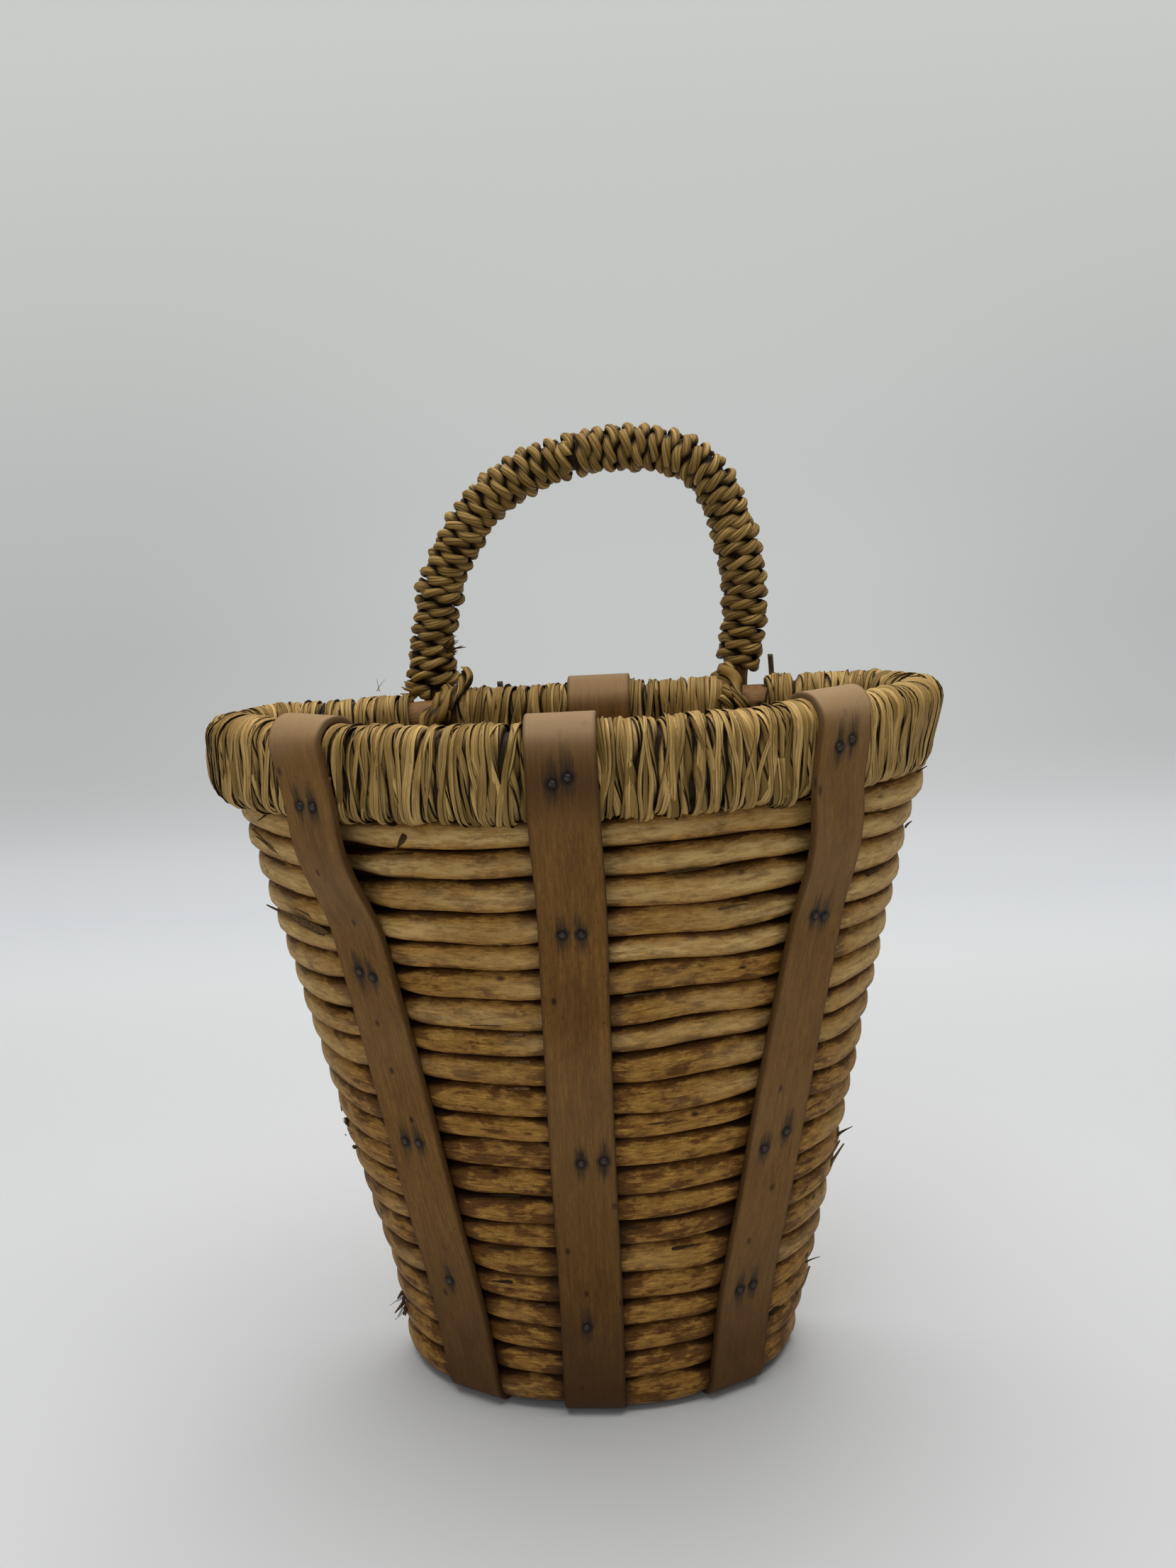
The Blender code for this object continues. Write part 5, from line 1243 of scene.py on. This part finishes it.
# Bark left on the rods: strips, stubs and splinters that stick in the seams, most of them at the sides,
# with near-black flat strips painted as the shade in the slots where two rods don't meet.
SPLINTERS = (
    (-24.0, 0.2742, 0.010, -0.0006, 0.0010, 0.0016, 0.85), (-22.8, 0.2626, 0.014, -0.0004, 0.0006, 0.0014, 0.9),
    (-22.3, 0.2480, 0.012, -0.0003, 0.0006, 0.0014, 0.9), (-9.0, 0.1990, 0.024, -0.0008, 0.0003, 0.0013, 0.6),
    (-9.5, 0.1945, 0.011, -0.0004, 0.0006, 0.0015, 0.5), (-9.0, 0.1817, 0.008, 0.0, 0.0006, 0.0014, 0.35),
    (-9.5, 0.1690, 0.010, 0.0002, 0.0008, 0.0014, 0.5), (-14.5, 0.1156, 0.014, 0.0, 0.0, 0.0022, 0.98),
    (-12.5, 0.0595, 0.007, -0.0010, 0.0012, 0.0014, 0.7), (-13.0, 0.0490, 0.006, -0.0016, 0.0016, 0.0013, 0.8),
    (-24.5, 0.2822, 0.0045, -0.0060, 0.0016, 0.0034, 0.75), (-54.4, 0.2632, 0.019, 0.0132, 0.0024, 0.0021, 0.10),
    (-56.0, 0.2618, 0.012, 0.0030, 0.0020, 0.0016, 0.75), (-57.5, 0.2660, 0.010, 0.0075, 0.0026, 0.0013, 0.45),
    (-47.5, 0.2335, 0.034, 0.0085, 0.0070, 0.0036, 0.50), (-49.0, 0.2322, 0.026, 0.0060, 0.0030, 0.0022, 0.65),
    (-51.0, 0.2385, 0.007, 0.0050, 0.0030, 0.0010, 0.35), (-56.5, 0.2850, 0.005, -0.0035, 0.0025, 0.0016, 0.85),
    (73.0, 0.2838, 0.009, 0.0024, 0.0032, 0.0013, 0.75), (58.0, 0.2462, 0.013, 0.0012, 0.0003, 0.0026, 0.8),
    (52.5, 0.2800, 0.0022, 0.0, 0.0003, 0.0018, 0.97), (84.0, 0.2560, 0.007, 0.0010, 0.0030, 0.0018, 0.7),
    (-76.0, 0.1330, 0.020, -0.0060, 0.0012, 0.0050, 0.45), (-74.0, 0.1270, 0.018, -0.0065, 0.0016, 0.0042, 0.6),
    (-77.0, 0.1215, 0.016, -0.0070, 0.0022, 0.0034, 0.5), (-72.0, 0.1150, 0.012, -0.0050, 0.0010, 0.0026, 0.8),
    (76.0, 0.1110, 0.008, 0.0012, 0.0055, 0.0022, 0.75), (74.0, 0.0965, 0.013, 0.0055, 0.0034, 0.0042, 0.5),
    (70.0, 0.1040, 0.012, 0.0030, 0.0012, 0.0036, 0.4), (71.0, 0.0480, 0.006, 0.0008, 0.0048, 0.0011, 0.7),
    (50.5, 0.0356, 0.0062, 0.0010, 0.0012, 0.0042, 0.95), (68.0, 0.0330, 0.018, 0.0050, 0.0008, 0.0060, 0.35),
    (8.0, 0.2105, 0.016, 0.0006, 0.0004, 0.0012, 0.85), (12.0, 0.1500, 0.010, 0.0002, 0.0004, 0.0012, 0.8),
    (6.0, 0.0990, 0.012, 0.0004, 0.0006, 0.0012, 0.9), (18.0, 0.0860, 0.013, 0.0005, 0.0005, 0.0015, 0.9),
    (-18.0, 0.0880, 0.012, -0.0004, 0.0004, 0.0013, 0.85), (15.0, 0.2630, 0.020, 0.0010, 0.0006, 0.0013, 0.8),
    (24.0, 0.2450, 0.012, 0.0012, 0.0010, 0.0014, 0.6), (-20.0, 0.0700, 0.010, -0.0004, 0.0006, 0.0016, 0.9),
)
SPLINTER_THICKNESS = 0.0009
bark, bark_tree, bark_shader = new_material("bark_remnant", (0.14, 0.08, 0.04), 0.8)
bark_shader.inputs["Specular IOR Level"].default_value = 0.1
bark_place = add_node(bark_tree, "ShaderNodeTexCoord").outputs["Object"]
bark_noise = add_node(bark_tree, "ShaderNodeTexNoise", {"Vector": bark_place, "Scale": 700.0, "Detail": 5.0, "Roughness": 0.7})
bark_dark_and_slot_shade = add_node(bark_tree, "ShaderNodeAttribute", attribute_name="dark").outputs["Fac"]
bark_colour = add_ramp(bark_tree, bark_noise.outputs["Fac"], [(0.35, (0.13, 0.065, 0.022)), (0.65, (0.34, 0.21, 0.095))])
# Dark bark, and on the flat near-black strips the painted shade of the slots between rods.
bark_colour = mix_colour(bark_tree, bark_dark_and_slot_shade, bark_colour, (0.018, 0.008, 0.002))
bark_tree.links.new(bark_colour, bark_shader.inputs["Base Color"])
bark_relief = add_node(bark_tree, "ShaderNodeBump", {"Strength": 0.8, "Distance": 0.0005, "Height": bark_noise.outputs["Fac"]})
bark_tree.links.new(bark_relief.outputs[0], bark_shader.inputs["Normal"])


def splinter_grid(angle, height, length, rise, lift, width):
    """A tapering strip that follows the wall from an angle and height, its free end lifted off it."""
    share = np.linspace(0.0, 1.0, 10)
    level = height + rise * share
    half_width, front_depth = wall_sizes(level)
    a = half_width / np.sqrt(1.0 - ((WALL_CORNER_RADIUS - BACK_FACE_Y) / front_depth) ** 2)
    toward = math.copysign(1.0, angle)
    start = math.radians(angle)
    stretch = np.hypot(a * math.cos(start), front_depth * math.sin(start))
    t = start + toward * length * share / stretch
    normal = unit(np.stack([np.sin(t) / a, -np.cos(t) / front_depth, 0 * t], axis=1))
    off = lift * share ** 1.6 - SPLINTER_THICKNESS * 0.4 - foot_tuck(level, normal[:, 0])
    place = np.stack([a * np.sin(t), -front_depth * np.cos(t) + PLAN_SHIFT, level], axis=1) + normal * off[:, None]
    tangent = unit(np.gradient(place, axis=0))
    up = np.cross(tangent, normal)
    half = width / 2 * np.interp(share, (0.0, 0.12, 0.5, 1.0), (0.5, 1.0, 0.8, 0.12)) * (1.0 + 0.12 * drift(10, 2))
    turn = np.arange(8) / 8 * 2 * math.pi
    return place[:, None] + (half[:, None] * np.cos(turn))[..., None] * up[:, None] + (
        SPLINTER_THICKNESS / 2 * np.sin(turn))[..., None] * normal[:, None]


splinter_parts = []
for splinter in SPLINTERS:
    strip = splinter_grid(*splinter[:6])
    strip_map = tube_map(np.linspace(0.0, splinter[2], 10), np.linspace(0.0, 0.004, 9))
    splinter_parts.append((strip, strip_map, {"dark": np.full(10, splinter[6])}))
add_surface("bark_splinters", *splinter_parts[0][:1], bark, splinter_parts[0][1], splinter_parts[0][2], "twig_bark", (), splinter_parts[1:])

# Loose fibres: cut rope ends at the left foot, a dark tuft on the left leg, hairs of bark at the base
# and leaf ends that stand off the rim.
FIBRE_BUNDLES = (
    ("rope_ends_left", (-0.0705, 0.0510, 0.3262), (-0.0050, -0.003, 0.0022), 9, 0.0050, 0.0011, "rope", 0.10),
    ("rope_ends_inner", (-0.0735, 0.0500, 0.3230), (-0.004, -0.008, -0.004), 8, 0.0035, 0.0007, "rope", 0.10),
    ("leg_tuft", (-0.0550, 0.0500, 0.3442), (0.0042, -0.001, 0.0010), 16, 0.0034, 0.00055, "bark", 0.75),
    ("leg_lump_hairs", (-0.0640, 0.0485, 0.3700), (-0.0032, -0.002, 0.0005), 7, 0.003, 0.0002, "rope", 0.2),
    ("base_hairs_left", (-0.0940, 0.0230, 0.0300), (-0.0042, -0.001, -0.0048), 10, 0.0080, 0.0003, "bark", 0.8),
    ("base_bark_left", (-0.0945, 0.0220, 0.0310), (-0.0024, -0.001, -0.0040), 10, 0.0120, 0.0012, "bark", 0.6),
    ("side_hairs_left", (-0.1130, 0.0180, 0.1260), (-0.0040, -0.002, 0.0030), 8, 0.0120, 0.0003, "bark", 0.7),
    ("rim_hair_left", (-0.0890, 0.0480, 0.3270), (0.002, -0.002, 0.0060), 2, 0.0010, 0.0002, "rope", 0.3),
)


def fibre_grid(root, tip, radius, source):
    """One thin fibre: a tapering tube along a gently bent line from its root to its tip."""
    share = np.linspace(0.0, 1.0, 8)[:, None]
    bend = source.normal(0.0, 0.18, 3) * np.linalg.norm(tip - root)
    line = root + (tip - root) * share + bend * (share * (1 - share))
    tangent = unit(np.gradient(line, axis=0))
    side = unit(np.cross(tangent, [0.31, 0.87, 0.38]))
    other = np.cross(tangent, side)
    turn = np.arange(5) / 5 * 2 * math.pi
    size = radius * (1.0 - 0.75 * share[..., None])
    return line[:, None] + size * (np.cos(turn)[:, None] * side[:, None] + np.sin(turn)[:, None] * other[:, None])


for bundle_name, bundle_root, bundle_way, bundle_count, bundle_spread, bundle_radius, bundle_stuff, bundle_dark in FIBRE_BUNDLES:
    bundle_source = np.random.default_rng(len(bundle_name) * 31 + bundle_count)
    fibre_parts = []
    for _ in range(bundle_count):
        fibre_root = np.array(bundle_root) + bundle_source.uniform(-0.5, 0.5, 3) * bundle_spread * np.array([1.0, 0.4, 1.0])
        fibre_way = np.array(bundle_way) * bundle_source.uniform(0.6, 1.2) + bundle_source.normal(0.0, 0.0013, 3)
        fibre = fibre_grid(fibre_root - 0.2 * fibre_way, fibre_root + fibre_way, bundle_radius, bundle_source)
        fibre_map = tube_map(np.linspace(0.0, 0.008, 8), np.linspace(0.0, 0.002, 6))
        fibre_parts.append((fibre, fibre_map, {"dark": np.full(8, bundle_dark), "shade_and_dark": np.full(8, bundle_dark), "leaf": np.full(8, 0.4)}))
    fibre_stuff = {"rope": rope, "bark": bark}[bundle_stuff]
    fibre_slot = {"rope": "seagrass_rope", "bark": "twig_bark"}[bundle_stuff]
    add_surface(bundle_name, *fibre_parts[0][:1], fibre_stuff, fibre_parts[0][1], fibre_parts[0][2], fibre_slot, (), fibre_parts[1:])

# The base board: a half-round board inside the lowest rod.
base_wood, base_tree, base_shader, base_colour = wood_material(
    "base_board_wood", (0.30, 0.19, 0.10), (0.22, 0.13, 0.06), (0.12, 0.06, 0.025),
    (300.0, 90.0, 40.0), 0.8, (0.52, 0.72), 0.4, 0.3)
base_tree.links.new(base_colour, base_shader.inputs["Base Color"])
base_height = RODS_FLOOR + mean_pitch * ROD_SHARES[0] / 2
base_plan = plan_path(*wall_sizes(base_height), BACK_FACE_Y, WALL_CORNER_RADIUS, mean_pitch * ROD_SHARES[0] + 0.0006, base_height, 181)[0][:-1]
base_middle = base_plan.mean(axis=0)
base_rings = np.array([(0.02, 0.0), (0.5, 0.0), (0.985, 0.0), (1.0, 0.06), (1.0, 0.94), (0.985, 1.0), (0.5, 1.0), (0.02, 1.0)])
base_flat = base_middle + (base_plan - base_middle) * base_rings[:, 0, None, None]
base_grid = np.concatenate([base_flat, np.broadcast_to((RODS_FLOOR + BASE_THICKNESS * base_rings[:, 1])[:, None, None], (8, 180, 1))], axis=2)
base_grid = base_grid + np.array([0.0, PLAN_SHIFT, 0.0])
base_map = np.concatenate([base_grid, base_grid[:, :1]], axis=1)[..., :2]
add_surface("base_board_half_round", base_grid, base_wood, base_map, {"tone": np.full(8, 1.7)}, "base_board_wood", ["base_board"])
